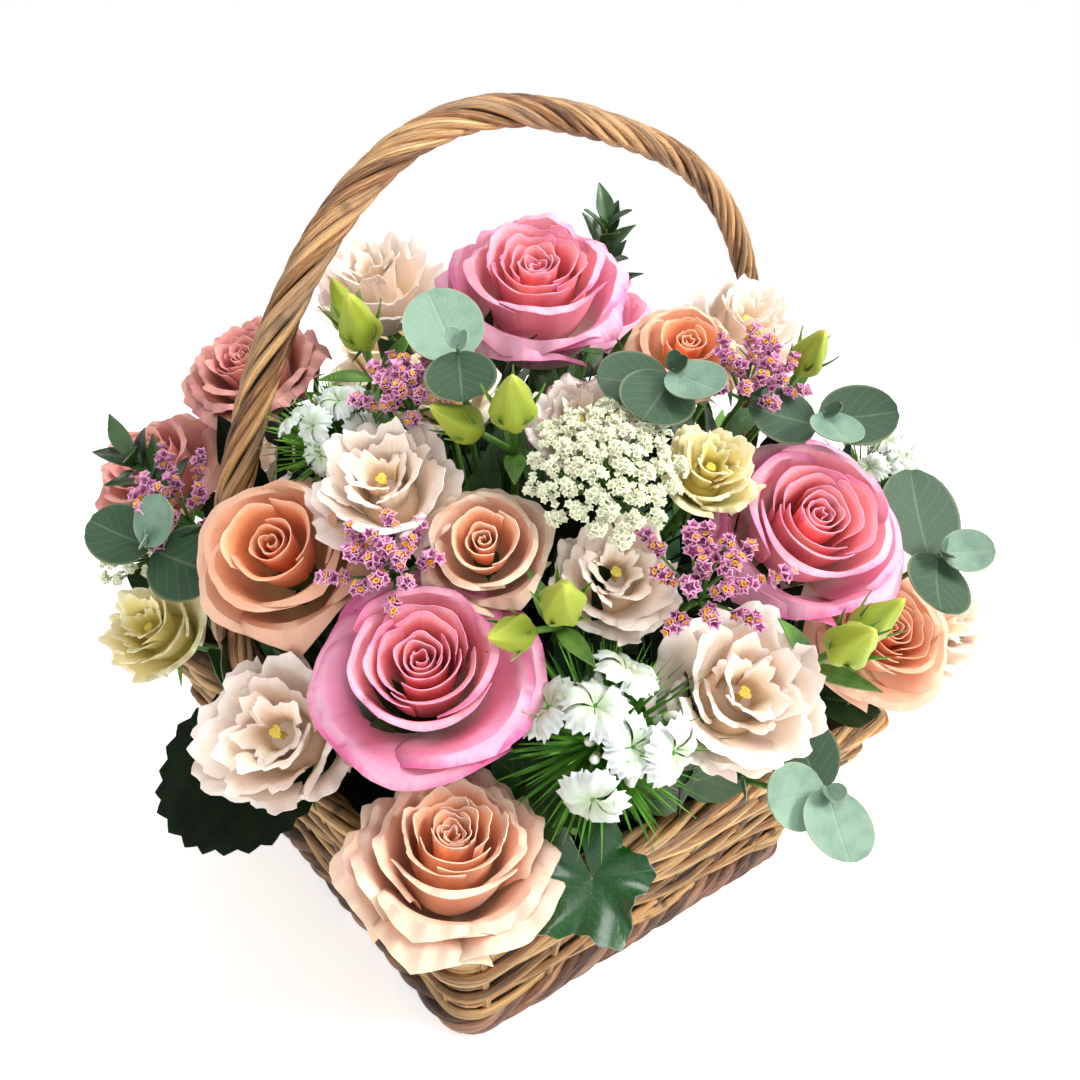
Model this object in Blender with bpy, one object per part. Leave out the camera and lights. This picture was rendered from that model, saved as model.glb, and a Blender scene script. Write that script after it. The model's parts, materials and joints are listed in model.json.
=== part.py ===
"""A flower basket: a willow basket with a twisted handle, filled with cut flowers and leaves.

The basket is a tapered box of woven rods. A tray inside it holds a block of floral foam, and every
cut stem stands in a hole of its own in that block. All stems aim at one point deep in the foam.
All blooms face away from one point behind its middle, those in front more towards the front
corner, so the whole reads as a dome that looks that way. Metres, +Z up; the origin is the middle
of the underside.
"""

import math
import random

import bpy
from mathutils import Matrix, Vector
from mathutils.bvhtree import BVHTree

MM = 0.001

# Basket
RIM_HALF_X = 150 * MM          # half the length of the rim, which the handle spans
RIM_HALF_Y = 139 * MM
WALL_TOP = 85 * MM             # where the weave ends and the border begins
TAPER_X = 0.74                 # size of the foot against the rim
TAPER_Y = 0.80
CORNER = 14 * MM
WALL_THICKNESS = 6 * MM
WEAVE_ROWS = 6
WEAVE_DEPTH = 3.5 * MM         # how deep the gaps between two rods go
WEAVE_SWING = 1.3 * MM         # how far a rod swings out over a stake
STAKES_X = 6                   # stretches between stakes on a long side
STAKES_Y = 6
FLOOR_THICKNESS = 7 * MM
BORDER_RADIUS = 6.5 * MM
GAP = 0.3 * MM                 # clearance between pieces that touch

# Handle
HANDLE_RISE = 268 * MM         # from the border up to the middle of the arch
HANDLE_HALF_SPAN = 172 * MM    # at its widest, where it bows out past the rim
HANDLE_RADIUS = 7 * MM
HANDLE_RODS = 4
HANDLE_TURNS = 4
HANDLE_SQUARENESS = 2.76       # 2 is an ellipse, more has squarer shoulders
HANDLE_FOOT = (117.6 * MM, 50 * MM)
HANDLE_STEPS = 36

# Foam and tray: half width and height of the foam at each of its levels, from its shoulder up
FOAM_HALF = 99 * MM
FOAM_DOME = ((99 * MM, 128 * MM), (80 * MM, 172 * MM), (44 * MM, 204 * MM))
TRAY_TOP = 62 * MM
TRAY_THICKNESS = 1.0 * MM

# Arrangement
FOCUS = Vector((0.0, 0.0, 0.060))            # the point that every stem aims at
FACE_FROM = Vector((0.050, 0.045, 0.020))   # blooms face away from here
FRONT = Vector((-0.56, -0.52, 0.645)).normalized()
FRONT_PULL = 0.75                            # how far the blooms in front turn that way
FOOT_SHARE = 0.36                            # how far from the focus a stem's foot stands
STEM_SIDES = 4                               # of a stem and of its hole
GOLDEN_ANGLE = math.radians(137.5)
PETAL = 0.8 * MM
LEAF = 0.8 * MM
NECK_SINK = 1.5 * MM                         # how far a stem runs into its head
LIFTS = (0, 3, 6, 9, 12, 15, 18, 22, 26)     # millimetres a plant may be drawn out to lie clear
TURNS = (0, 25, -25, 50, -50, 80, -80, 120, -120, 160)

COLOURS = {
    "willow": ((0.42, 0.22, 0.09), 0.6),
    "willow_dark": ((0.30, 0.15, 0.06), 0.65),
    "tray": ((0.03, 0.10, 0.04), 0.4),
    "foam": ((0.05, 0.20, 0.07), 0.95),
    "rose_pink": ((0.88, 0.28, 0.42), 0.5),
    "rose_peach": ((0.95, 0.52, 0.30), 0.5),
    "rose_salmon": ((0.90, 0.36, 0.18), 0.5),
    "rose_cream": ((0.90, 0.72, 0.48), 0.5),
    "lisianthus_blush": ((0.92, 0.74, 0.62), 0.55),
    "lisianthus_yellow": ((0.88, 0.78, 0.38), 0.55),
    "lisianthus_edged": ((0.80, 0.58, 0.56), 0.55),
    "bud": ((0.42, 0.50, 0.06), 0.45),
    "dianthus": ((0.85, 0.88, 0.82), 0.6),
    "limonium": ((0.52, 0.14, 0.36), 0.7),
    "umbel": ((0.84, 0.86, 0.72), 0.7),
    "eucalyptus": ((0.20, 0.38, 0.27), 0.5),
    "pistacia": ((0.05, 0.15, 0.03), 0.4),
    "galax": ((0.01, 0.05, 0.01), 0.35),
    "ivy": ((0.01, 0.08, 0.01), 0.25),
}

# Every cut stem: name, kind, colour, place of its head in millimetres, size, turn in degrees.
# A bloom's size is its radius; a spray's or leaf's is its reach from its place.
PLANTS = (
    ("rose_pink_front", "rose", "rose_pink", (-148, -106, 175), 37, 0),
    ("rose_peach_front", "rose", "rose_peach", (-153, -137, 127), 34, 0),
    ("rose_pink_top", "rose", "rose_pink", (-44, -19, 293), 43, 0),
    ("rose_pink_right", "rose", "rose_pink", (-8, -150, 224), 37, 0),
    ("rose_pink_left", "rose", "rose_pink", (-122, 86, 238), 36, 0),
    ("rose_peach_left", "rose", "rose_peach", (-160, 102, 184), 35, 0),
    ("rose_salmon", "rose", "rose_salmon", (-168, -42, 196), 30, 0),
    ("rose_peach_right", "rose", "rose_peach", (34, -170, 180), 32, 0),
    ("rose_peach_small", "rose_small", "rose_peach", (-122, -98, 212), 22, 0),
    ("rose_peach_upper", "rose_small", "rose_peach", (-20, -86, 278), 23, 0),
    ("rose_cream_mid", "rose_small", "rose_cream", (-98, -32, 254), 21, 0),
    ("rose_cream_back", "rose", "rose_cream", (-4, 146, 236), 44, 0),
    ("rose_pink_back", "rose", "rose_pink", (62, 70, 280), 48, 0),
    ("rose_peach_back", "rose", "rose_peach", (136, 128, 170), 47, 0),
    ("lisianthus_upper_left", "lisianthus", "lisianthus_blush", (-142, -64, 226), 27, 0),
    ("lisianthus_low_left", "lisianthus", "lisianthus_blush", (-178, -68, 140), 31, 0),
    ("lisianthus_middle", "lisianthus", "lisianthus_blush", (-88, -128, 208), 24, 0),
    ("lisianthus_low_right", "lisianthus", "lisianthus_blush", (-58, -168, 174), 31, 0),
    ("lisianthus_top_right", "lisianthus", "lisianthus_blush", (64, -52, 288), 33, 0),
    ("lisianthus_top_left", "lisianthus", "lisianthus_blush", (-72, 66, 284), 33, 0),
    ("lisianthus_yellow_mid", "lisianthus", "lisianthus_yellow", (-44, -126, 242), 20, 0),
    ("lisianthus_yellow_left", "lisianthus", "lisianthus_yellow", (-186, 32, 138), 24, 0),
    ("lisianthus_far_right", "lisianthus", "lisianthus_blush", (96, -168, 170), 31, 0),
    ("lisianthus_edged", "lisianthus", "lisianthus_edged", (-78, -90, 252), 20, 0),
    ("lisianthus_back_right", "lisianthus", "lisianthus_blush", (156, -72, 200), 44, 0),
    ("lisianthus_back", "lisianthus", "lisianthus_blush", (-78, 164, 170), 44, 0),
    ("dianthus_front", "dianthus", "dianthus", (-106, -152, 164), 32, 0),
    ("dianthus_left", "dianthus", "dianthus", (-144, -30, 238), 22, 0),
    ("dianthus_right", "dianthus", "dianthus", (100, -128, 230), 26, 0),
    ("dianthus_back", "dianthus", "dianthus", (132, 58, 234), 40, 0),
    ("limonium_left", "limonium", "limonium", (-178, 34, 190), 21, 0),
    ("limonium_middle", "limonium", "limonium", (-71, -154, 212), 21, 0),
    ("limonium_front", "limonium", "limonium", (-150, -84, 204), 16, 0),
    ("limonium_upper", "limonium", "limonium", (-126, -50, 254), 15, 0),
    ("limonium_right", "limonium", "limonium", (-14, -116, 274), 18, 0),
    ("umbel_middle", "umbel", "umbel", (-92, -120, 246), 31, 0),
    ("umbel_left", "umbel", "umbel", (-182, 76, 160), 21, 0),
    ("eucalyptus_top", "eucalyptus", "eucalyptus", (-118, -66, 274), 22, 0),
    ("eucalyptus_middle", "eucalyptus", "eucalyptus", (-60, -114, 276), 22, 0),
    ("eucalyptus_upper_right", "eucalyptus", "eucalyptus", (-2, -142, 266), 23, 0),
    ("eucalyptus_right", "eucalyptus", "eucalyptus", (36, -184, 220), 24, 0),
    ("eucalyptus_left", "eucalyptus", "eucalyptus", (-194, 18, 182), 23, 0),
    ("eucalyptus_low", "eucalyptus", "eucalyptus", (-44, -200, 150), 22, 0),
    ("eucalyptus_back", "eucalyptus", "eucalyptus", (48, 180, 170), 34, 0),
    ("buds_top_left", "buds", "bud", (-128, -18, 272), 12, 0),
    ("buds_upper", "buds", "bud", (-112, -92, 258), 12, 0),
    ("buds_middle", "buds", "bud", (-120, -136, 206), 11, 0),
    ("buds_right", "buds", "bud", (-36, -190, 198), 12, 0),
    ("buds_top_right", "buds", "bud", (24, -114, 282), 11, 0),
    ("pistacia_top", "pistacia", "pistacia", (4, -8, 316), 22, 0),
    ("pistacia_left", "pistacia", "pistacia", (-180, 56, 200), 22, 0),
    ("galax_left", "galax", "galax", (-168, -34, 136), 40, 0),
    ("galax_back", "galax", "galax", (168, 70, 118), 40, 0),
    ("ivy_front", "galax", "ivy", (-117, -154, 132), 22, 0),
)


# ---------------------------------------------------------------- plain meshes

class Solid:
    """A closed shell of points and faces, with its faces pointing out."""

    def __init__(self, points, faces):
        self.points = [Vector(p) for p in points]
        self.faces = [tuple(f) for f in faces]

    def moved(self, matrix):
        """Return a copy placed by a matrix."""
        return Solid([matrix @ p for p in self.points], self.faces)


def rings(loops, closed_ends=True):
    """Return the solid through loops of as many points each, seen anticlockwise from its far end."""
    count = len(loops[0])
    points = [p for loop in loops for p in loop]
    faces = []
    for row in range(len(loops) - 1):
        for k in range(count):
            a = row * count + k
            b = row * count + (k + 1) % count
            faces.append((a, b, b + count))
            faces.append((a, b + count, a + count))
    if closed_ends:
        faces.append(tuple(reversed(range(count))))
        last = (len(loops) - 1) * count
        faces.append(tuple(range(last, last + count)))
    return Solid(points, faces)


def circle(centre, across, up, radius, sides, phase=0.0):
    """Return points round a centre, in the plane of two unit vectors."""
    angles = [phase + math.tau * k / sides for k in range(sides)]
    return [centre + radius * (math.cos(a) * across + math.sin(a) * up) for a in angles]


def axes_of(direction):
    """Return the level and the rising unit vector square to a direction."""
    level = Vector((0, 0, 1)).cross(direction)
    if level.length < 1e-4:
        level = Vector((0, 1, 0)).cross(direction)
    level.normalize()
    return level, direction.cross(level).normalized()


def turned(profile, sides, phase=0.0):
    """Return a solid turned about Z from (radius, height) pairs, with its ends closed by a tip."""
    loops = [circle(Vector((0, 0, z)), Vector((1, 0, 0)), Vector((0, 1, 0)), r, sides, phase)
             for r, z in profile[:-1]]
    body = rings(loops)
    body.faces.pop()
    tip = len(body.points)
    body.points.append(Vector((0, 0, profile[-1][1])))
    last = (len(loops) - 1) * sides
    body.faces += [(last + k, last + (k + 1) % sides, tip) for k in range(sides)]
    return body


def bead(centre, direction, radius, half_length, sides, phase=0.0):
    """Return a bead with a pointed top and bottom, its axis along a direction."""
    across, up = axes_of(direction)
    points = circle(centre, across, up, radius, sides, phase)
    points += [centre - direction * half_length, centre + direction * half_length]
    faces = []
    for k in range(sides):
        n = (k + 1) % sides
        faces += [(k, n, sides + 1), (n, k, sides)]
    return Solid(points, faces)


def rod(start, end, start_radius, end_radius, sides=3):
    """Return a straight tapered rod."""
    across, up = axes_of((end - start).normalized())
    return rings([circle(start, across, up, start_radius, sides),
                  circle(end, across, up, end_radius, sides)])


def needle(start, end, radius):
    """Return a three-sided needle."""
    across, up = axes_of((end - start).normalized())
    return Solid(circle(start, across, up, radius, 3) + [end],
                 [(2, 1, 0), (0, 1, 3), (1, 2, 3), (2, 0, 3)])


def blade(surface, across, along, thickness):
    """Return a thin sheet over a function of (u, v), split alike on both faces."""
    def at(i, j):
        return surface(i / across, j / along)

    grid = [[at(i, j) for i in range(across + 1)] for j in range(along + 1)]
    front, back = [], []
    for j in range(along + 1):
        for i in range(across + 1):
            du = grid[j][min(i + 1, across)] - grid[j][max(i - 1, 0)]
            dv = grid[min(j + 1, along)][i] - grid[max(j - 1, 0)][i]
            half = du.cross(dv).normalized() * (thickness / 2)
            front.append(grid[j][i] + half)
            back.append(grid[j][i] - half)
    shift = len(front)
    width = across + 1
    faces = []
    for j in range(along):
        for i in range(across):
            a = j * width + i
            b, c, d = a + 1, a + 1 + width, a + width
            for tri in ((a, b, c), (a, c, d)):
                faces.append(tri)
                faces.append(tuple(shift + p for p in reversed(tri)))
    edge = [i for i in range(width)]
    edge += [j * width + across for j in range(1, along + 1)]
    edge += [along * width + i for i in range(across - 1, -1, -1)]
    edge += [j * width for j in range(along - 1, 0, -1)]
    for k, a in enumerate(edge):
        b = edge[(k + 1) % len(edge)]
        faces.append((a, shift + a, shift + b))
        faces.append((a, shift + b, b))
    return Solid(front + back, faces)


def fan_leaf(outline, cup, thickness):
    """Return a leaf from its middle out to an outline in XY, dished by `cup` at the middle."""
    count = len(outline)
    rim = [Vector((x, y, 0)) for x, y in outline]
    middle = sum(rim, Vector()) / count + Vector((0, 0, cup))
    lift = Vector((0, 0, thickness / 2))
    points = [p + lift for p in rim] + [middle + lift] + [p - lift for p in rim] + [middle - lift]
    faces = []
    for k in range(count):
        n = (k + 1) % count
        faces.append((k, n, count))
        faces.append((count + 1 + n, count + 1 + k, 2 * count + 1))
        faces.append((k, count + 1 + k, count + 1 + n))
        faces.append((k, count + 1 + n, n))
    return Solid(points, faces)


def folded_leaf(length, width, stations, thickness, fold=0.25, droop=0.15, roundness=0.8):
    """Return a pointed leaf along +Y from the origin, folded up along its rib and bent down."""
    def spine(t):
        return Vector((0, length * t, -droop * length * t * t))

    def half(t):
        return 0.5 * width * math.sin(math.pi * t ** roundness)

    mids = [spine(k / stations) for k in range(stations + 1)]
    sides = [half(k / stations) for k in range(stations + 1)]
    plan = [mids[0]]
    for k in range(1, stations):
        for s in (-1, 1):
            plan.append(mids[k] + Vector((s * sides[k], 0, fold * sides[k])))
        plan.append(mids[k])
    plan.append(mids[-1])
    tip = len(plan) - 1
    faces = []

    def row(k):
        return (1 + 3 * (k - 1), 2 + 3 * (k - 1), 3 + 3 * (k - 1))

    left, right, mid = row(1)
    faces += [(0, mid, left), (0, right, mid)]
    for k in range(1, stations - 1):
        l0, r0, m0 = row(k)
        l1, r1, m1 = row(k + 1)
        faces += [(l0, m0, m1), (l0, m1, l1), (m0, r0, r1), (m0, r1, m1)]
    left, right, mid = row(stations - 1)
    faces += [(left, mid, tip), (mid, right, tip)]
    edge = [0] + [row(k)[1] for k in range(1, stations)] + [tip]
    edge += [row(k)[0] for k in range(stations - 1, 0, -1)]
    lift = Vector((0, 0, thickness / 2))
    shift = len(plan)
    solid = [p + lift for p in plan] + [p - lift for p in plan]
    both = list(faces) + [tuple(shift + p for p in reversed(f)) for f in faces]
    for k, a in enumerate(edge):
        b = edge[(k + 1) % len(edge)]
        both += [(a, shift + a, shift + b), (a, shift + b, b)]
    return Solid(solid, both)


# ---------------------------------------------------------------- heads, each about its own place

def rose_petal(radius, share, angle, thickness, across, along):
    """Return one rose petal; `share` runs from 0 at the heart to 1 at the outermost petal."""
    shell = 0.32 + 0.62 * share
    top = 0.46 - 0.34 * share
    spread = 1.12 - 0.12 * share
    root = 0.11
    bottom = -0.34 - 0.44 * share

    def surface(u, v):
        side = 2 * u - 1
        widen = 0.25 + 0.75 * math.sin(math.pi / 2 * min(1.0, v / 0.6))
        theta = angle + spread * widen * side
        r = root + (shell - root) * math.sin(math.pi / 2 * v) ** 0.9
        r += 0.10 * share * v ** 4
        z = bottom + (top - bottom) * v - 0.16 * v * side * side - 0.10 * share * v ** 5
        return radius * Vector((r * math.cos(theta), r * math.sin(theta), z))

    return blade(surface, across, along, thickness)


def rose(radius, seed, petals=6, across=2, along=2):
    """Return a rose head: a closed heart with petals wrapped round it in a spiral."""
    phase = seed.uniform(0, math.tau)
    heart = turned([(0.13, -0.92), (0.28, -0.60), (0, 0.46)], 4, phase)
    parts = [Solid([radius * p for p in heart.points], heart.faces)]
    for k in range(petals):
        angle = phase + k * GOLDEN_ANGLE
        parts.append(rose_petal(radius, k / (petals - 1), angle, PETAL, across, along))
    return parts, -0.86 * radius


def rose_small(radius, seed):
    """Return a small rose head with fewer petals."""
    return rose(radius, seed, petals=4)


def lisianthus(radius, seed):
    """Return a lisianthus head: an open bell of five ruffled petals round its closed heart."""
    phase = seed.uniform(0, math.tau)
    heart = turned([(0.10, -0.95), (0.27, -0.56), (0, 0.24)], 4, phase)
    parts = [Solid([radius * p for p in heart.points], heart.faces)]

    def petal(angle):
        def surface(u, v):
            side = 2 * u - 1
            theta = angle + 0.62 * side * (0.6 + 0.4 * v)
            wave = 0.10 * v * v * math.cos(math.tau * u + angle)
            r = 0.12 + 0.82 * v ** 1.1 + 0.05 * side * v + 0.5 * wave
            z = -0.72 + 0.96 * math.sin(math.pi / 2 * v) + wave
            return radius * Vector((r * math.cos(theta), r * math.sin(theta), z))
        return blade(surface, 2, 2, PETAL)

    parts += [petal(phase + math.tau * k / 5) for k in range(5)]
    return parts, -0.90 * radius


def star(radius, petals, thickness):
    """Return a flat floret of pointed petals."""
    outline = []
    for k in range(2 * petals):
        angle = math.pi * k / petals
        reach = radius * (0.42 if k % 2 else 1.0)
        outline.append((reach * math.cos(angle), reach * math.sin(angle)))
    return fan_leaf(outline, -0.15 * radius, thickness)


def leaning(angle, lean):
    """Return the unit vector that leans from +Z towards an angle round it."""
    return Vector((math.cos(angle) * math.sin(lean), math.sin(angle) * math.sin(lean),
                   math.cos(lean)))


def core(radius, widest, top, sides=4):
    """Return the small cone under a head from which its parts grow."""
    cone = turned([(0.08, -1.0), (widest, -0.66), (0, top)], sides)
    return Solid([radius * p for p in cone.points], cone.faces)


def dianthus(radius, seed, florets=4, needles=8):
    """Return a sweet william head: star florets above a ruff of thin green bracts."""
    parts = [core(radius, 0.22, -0.3, 5)]
    root = Vector((0, 0, -0.75 * radius))
    for k in range(florets):
        angle = math.tau * k / florets + seed.uniform(-0.1, 0.1)
        out = leaning(angle, 0.60)
        place = Vector((0, 0, -0.5 * radius)) + out * radius * 0.90
        frame = out.to_track_quat("Z", "Y").to_matrix().to_4x4()
        spin = Matrix.Rotation(seed.uniform(0, 1.2), 4, "Z")
        flower = star(0.42 * radius, 5, PETAL)
        parts.append(flower.moved(Matrix.Translation(place) @ frame @ spin))
        parts.append(needle(root, place - out * 0.063 * radius, 2.0 * MM))
    for k in range(needles):
        out = leaning(k * math.tau / needles, 1.0 + 0.3 * (k % 2))
        parts.append(needle(root, root + out * radius * seed.uniform(1.05, 1.3), 1.2 * MM))
    return parts, -0.95 * radius


def limonium(radius, seed, branches=7):
    """Return a statice spray: thin branchlets, each with a cup at its end."""
    parts = [core(radius, 0.16, -0.3)]
    root = Vector((0, 0, -0.75 * radius))
    for k in range(branches):
        out = leaning(k * GOLDEN_ANGLE, 0.15 + 0.85 * k / branches)
        end = root + out * radius * seed.uniform(1.2, 1.6)
        parts.append(needle(root, end, 1.4 * MM))
        parts.append(bead(end, out, 0.15 * radius, 0.24 * radius, 4, k))
    return parts, -0.92 * radius


def umbel(radius, seed, rays=10):
    """Return an umbel: rays that end in small heads, which together cover a low dome."""
    parts = [core(radius, 0.14, -0.4)]
    root = Vector((0, 0, -0.75 * radius))
    for k in range(rays):
        angle = k * GOLDEN_ANGLE
        reach = math.sqrt((k + 0.4) / rays)
        place = Vector((0.84 * radius * reach * math.cos(angle),
                        0.84 * radius * reach * math.sin(angle),
                        radius * (0.16 - 0.42 * reach * reach) + seed.uniform(-0.4, 0.4) * MM))
        out = (place - root).normalized()
        parts.append(needle(root, place, 1.3 * MM))
        parts.append(bead(place, out, 0.21 * radius, 0.12 * radius, 4, angle))
    return parts, -0.90 * radius


def placed_leaf(leaf, base, along, facing):
    """Return a leaf that runs from `base` in the direction `along`, its upper face to `facing`."""
    y = along.normalized()
    x = y.cross(facing).normalized()
    z = x.cross(y)
    frame = Matrix((x, y, z)).transposed().to_4x4()
    return leaf.moved(Matrix.Translation(base) @ frame)


def eucalyptus(radius, seed, leaves=3):
    """Return the end of a eucalyptus twig: round leaves set one above the other."""
    top = Vector((0, 0, 0.1 * radius))
    parts = [rod(Vector((0, 0, -1.6 * radius)), top, 1.1 * MM, 0.8 * MM, 3)]
    for k in range(leaves):
        angle = math.pi * k + 0.35 * k + seed.uniform(-0.3, 0.3)
        size = radius * (1.05 - 0.12 * k) * seed.uniform(0.92, 1.05)
        outline = [(size * 0.52 * math.cos(a), size * (0.60 + 0.58 * math.sin(a)))
                   for a in (-math.pi / 2 + math.tau * n / 7 for n in range(7))]
        base = Vector((0, 0, (-0.60 + 0.30 * k) * radius))
        along = Vector((math.cos(angle), math.sin(angle), 0.30 + 0.22 * k))
        leaf = fan_leaf(outline, -0.05 * radius, LEAF)
        parts.append(placed_leaf(leaf, base, along, Vector((0, 0, 1))))
    return parts, -1.5 * radius


def pistacia(radius, seed, leaves=4):
    """Return a leafy twig of small pointed leaves."""
    top = Vector((0, 0, 0.3 * radius))
    parts = [rod(Vector((0, 0, -1.8 * radius)), top, 1.1 * MM, 0.7 * MM)]
    for k in range(leaves):
        angle = k * GOLDEN_ANGLE
        height = (-1.15 + 1.3 * k / (leaves - 1)) * radius
        leaf = folded_leaf(radius * seed.uniform(0.95, 1.15), radius * 0.42, 2, LEAF)
        along = Vector((math.cos(angle), math.sin(angle), 0.9 + 0.9 * k / leaves))
        parts.append(placed_leaf(leaf, Vector((0, 0, height)), along, Vector((0, 0, 1))))
    return parts, -1.7 * radius


def buds(radius, seed):
    """Return the end of a lisianthus stem: one bud on its tip, one beside it, and two leaves."""
    fork = Vector((0, 0, -2.6 * radius))
    parts = [rod(fork, Vector((0, 0, 0)), 1.4 * MM, 1.2 * MM)]
    for k in range(2):
        angle = 2.4 * k + seed.uniform(-0.3, 0.3)
        size = radius * (1.0 - 0.16 * k)
        base = Vector((0, 0, 0))
        out = Vector((0, 0, 1))
        if k:
            base = Vector((1.3 * radius * math.cos(angle), 1.3 * radius * math.sin(angle),
                           -0.75 * k * radius))
            start = fork + Vector((0, 0, 0.4 * k * radius))
            out = (base - start).normalized()
            parts.append(needle(start, base + out * 0.3 * size, 1.9 * MM))
        bud = turned([(0.30, -0.62), (0.60, 0.0), (0, 1.05)], 5, angle)
        frame = out.to_track_quat("Z", "Y").to_matrix().to_4x4()
        scaled = Solid([size * p for p in bud.points], bud.faces)
        parts.append(scaled.moved(Matrix.Translation(base) @ frame))
    for k in range(2):
        angle = math.pi * k + 0.9
        leaf = folded_leaf(2.2 * radius, 0.55 * radius, 2, LEAF)
        along = Vector((math.cos(angle), math.sin(angle), 1.1))
        parts.append(placed_leaf(leaf, fork + Vector((0, 0, 0.3 * k * radius)), along,
                                 Vector((0, 0, 1))))
    return parts, -2.6 * radius


def galax(radius, seed, teeth=10):
    """Return a broad leaf that hangs from its stalk, its edge cut into teeth."""
    outline = []
    for k in range(2 * teeth):
        angle = -math.pi / 2 + math.tau * k / (2 * teeth)
        reach = radius * (1.0 if k % 2 else 0.90) * (0.80 + 0.20 * math.sin(angle / 2) ** 2)
        outline.append((reach * math.cos(angle), -0.70 * radius + reach * math.sin(angle)))
    leaf = fan_leaf(outline, -0.10 * radius, LEAF)
    hang = Matrix.Rotation(math.radians(-18), 4, "X")
    return [leaf.moved(hang)], 0.0


HEADS = {"rose": rose, "rose_small": rose_small, "lisianthus": lisianthus, "dianthus": dianthus,
         "limonium": limonium, "umbel": umbel, "eucalyptus": eucalyptus, "pistacia": pistacia,
         "buds": buds, "galax": galax}
STEM_RADIUS = {"rose": 2.4 * MM, "rose_small": 2.0 * MM, "lisianthus": 1.8 * MM,
               "dianthus": 1.8 * MM, "limonium": 1.3 * MM, "umbel": 1.6 * MM,
               "eucalyptus": 1.4 * MM, "pistacia": 1.4 * MM, "buds": 1.6 * MM, "galax": 1.3 * MM}


# ---------------------------------------------------------------- objects

def material(name):
    """Return the named material."""
    found = bpy.data.materials.get(name)
    if found:
        return found
    colour, roughness = COLOURS[name]
    made = bpy.data.materials.new(name)
    made.use_nodes = True
    shader = made.node_tree.nodes["Principled BSDF"]
    shader.inputs["Base Color"].default_value = (*colour, 1)
    shader.inputs["Roughness"].default_value = roughness
    shader.inputs["Metallic"].default_value = 0.0
    made.diffuse_color = (*colour, 1)
    return made


def add_object(name, solid, colour, collection=None):
    """Make an object from one solid."""
    mesh = bpy.data.meshes.new(name)
    mesh.from_pydata([tuple(p) for p in solid.points], [], solid.faces)
    mesh.validate()
    made = bpy.data.objects.new(name, mesh)
    made.data.materials.append(material(colour))
    (collection or bpy.context.scene.collection).objects.link(made)
    return made


def combine(target, others, colour, operation="UNION"):
    """Join solids to an object, or cut them out of it, and apply the result."""
    group = bpy.data.collections.new("tools")
    bpy.context.scene.collection.children.link(group)
    for k, solid in enumerate(others):
        add_object(f"tool_{k}", solid, colour, group)
    boolean = target.modifiers.new("combine", "BOOLEAN")
    boolean.operation = operation
    boolean.operand_type = "COLLECTION"
    boolean.collection = group
    boolean.solver = "EXACT"
    graph = bpy.context.evaluated_depsgraph_get()
    result = bpy.data.meshes.new_from_object(target.evaluated_get(graph))
    target.modifiers.clear()
    target.data = result
    for tool in list(group.objects):
        bpy.data.objects.remove(tool)
    bpy.data.collections.remove(group)


# ---------------------------------------------------------------- basket

def rim_outline(half_x, half_y):
    """Return the points round the basket's plan, anticlockwise, with one at every stake."""
    points = []
    corners = ((1, -1), (1, 1), (-1, 1), (-1, -1))
    counts = (STAKES_Y, STAKES_X, STAKES_Y, STAKES_X)
    for side in range(4):
        sx, sy = corners[side]
        ex, ey = corners[(side + 1) % 4]
        start = Vector((sx * half_x, sy * half_y))
        end = Vector((ex * half_x, ey * half_y))
        run = (end - start).normalized()
        first, last = start + run * CORNER, end - run * CORNER
        for k in range(counts[side] + 1):
            points.append(first.lerp(last, k / counts[side]))
    return points


def plan_at(height, inset):
    """Return the basket's plan at a height, drawn in by an inset, as points in space."""
    share = height / WALL_TOP
    half_x = RIM_HALF_X * (TAPER_X + (1 - TAPER_X) * share) - inset
    half_y = RIM_HALF_Y * (TAPER_Y + (1 - TAPER_Y) * share) - inset
    return [Vector((x, y, height)) for x, y in rim_outline(half_x, half_y)]


def make_walls():
    """Make the woven walls: rods that pass before and behind the stakes in turn."""
    loops = []
    steps = 2 * WEAVE_ROWS
    for level in range(steps + 1):
        height = WALL_TOP * level / steps
        if level % 2 == 0:
            loops.append(plan_at(height, WEAVE_DEPTH))
            continue
        out = plan_at(height, -WEAVE_SWING)
        back = plan_at(height, WEAVE_SWING)
        row = level // 2
        loops.append([out[k] if (k + row) % 2 else back[k] for k in range(len(out))])
    inner = [plan_at(WALL_TOP, WEAVE_DEPTH + WALL_THICKNESS),
             plan_at(0, WEAVE_DEPTH + WALL_THICKNESS)]
    count = len(loops[0])
    shell = rings(loops + inner, closed_ends=False)
    last = (len(loops) + 1) * count
    for k in range(count):
        n = (k + 1) % count
        shell.faces.append((last + k, last + n, n))
        shell.faces.append((last + k, n, k))
    return add_object("basket_walls", shell, "willow")


def make_floor():
    """Make the basket's floor, which stands on the table inside the foot of the walls."""
    inset = WEAVE_DEPTH + WALL_THICKNESS + GAP
    low = plan_at(0, inset)
    high = [Vector((p.x, p.y, FLOOR_THICKNESS)) for p in low]
    keep = [k for k in range(len(low)) if _is_corner(k)]
    return add_object("basket_floor", rings([[low[k] for k in keep], [high[k] for k in keep]]),
                      "willow_dark")


def _is_corner(k):
    """Tell whether point k of the plan starts or ends a side."""
    ends = []
    at = 0
    for count in (STAKES_Y, STAKES_X, STAKES_Y, STAKES_X):
        ends += [at, at + count]
        at += count + 1
    return k in ends


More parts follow.
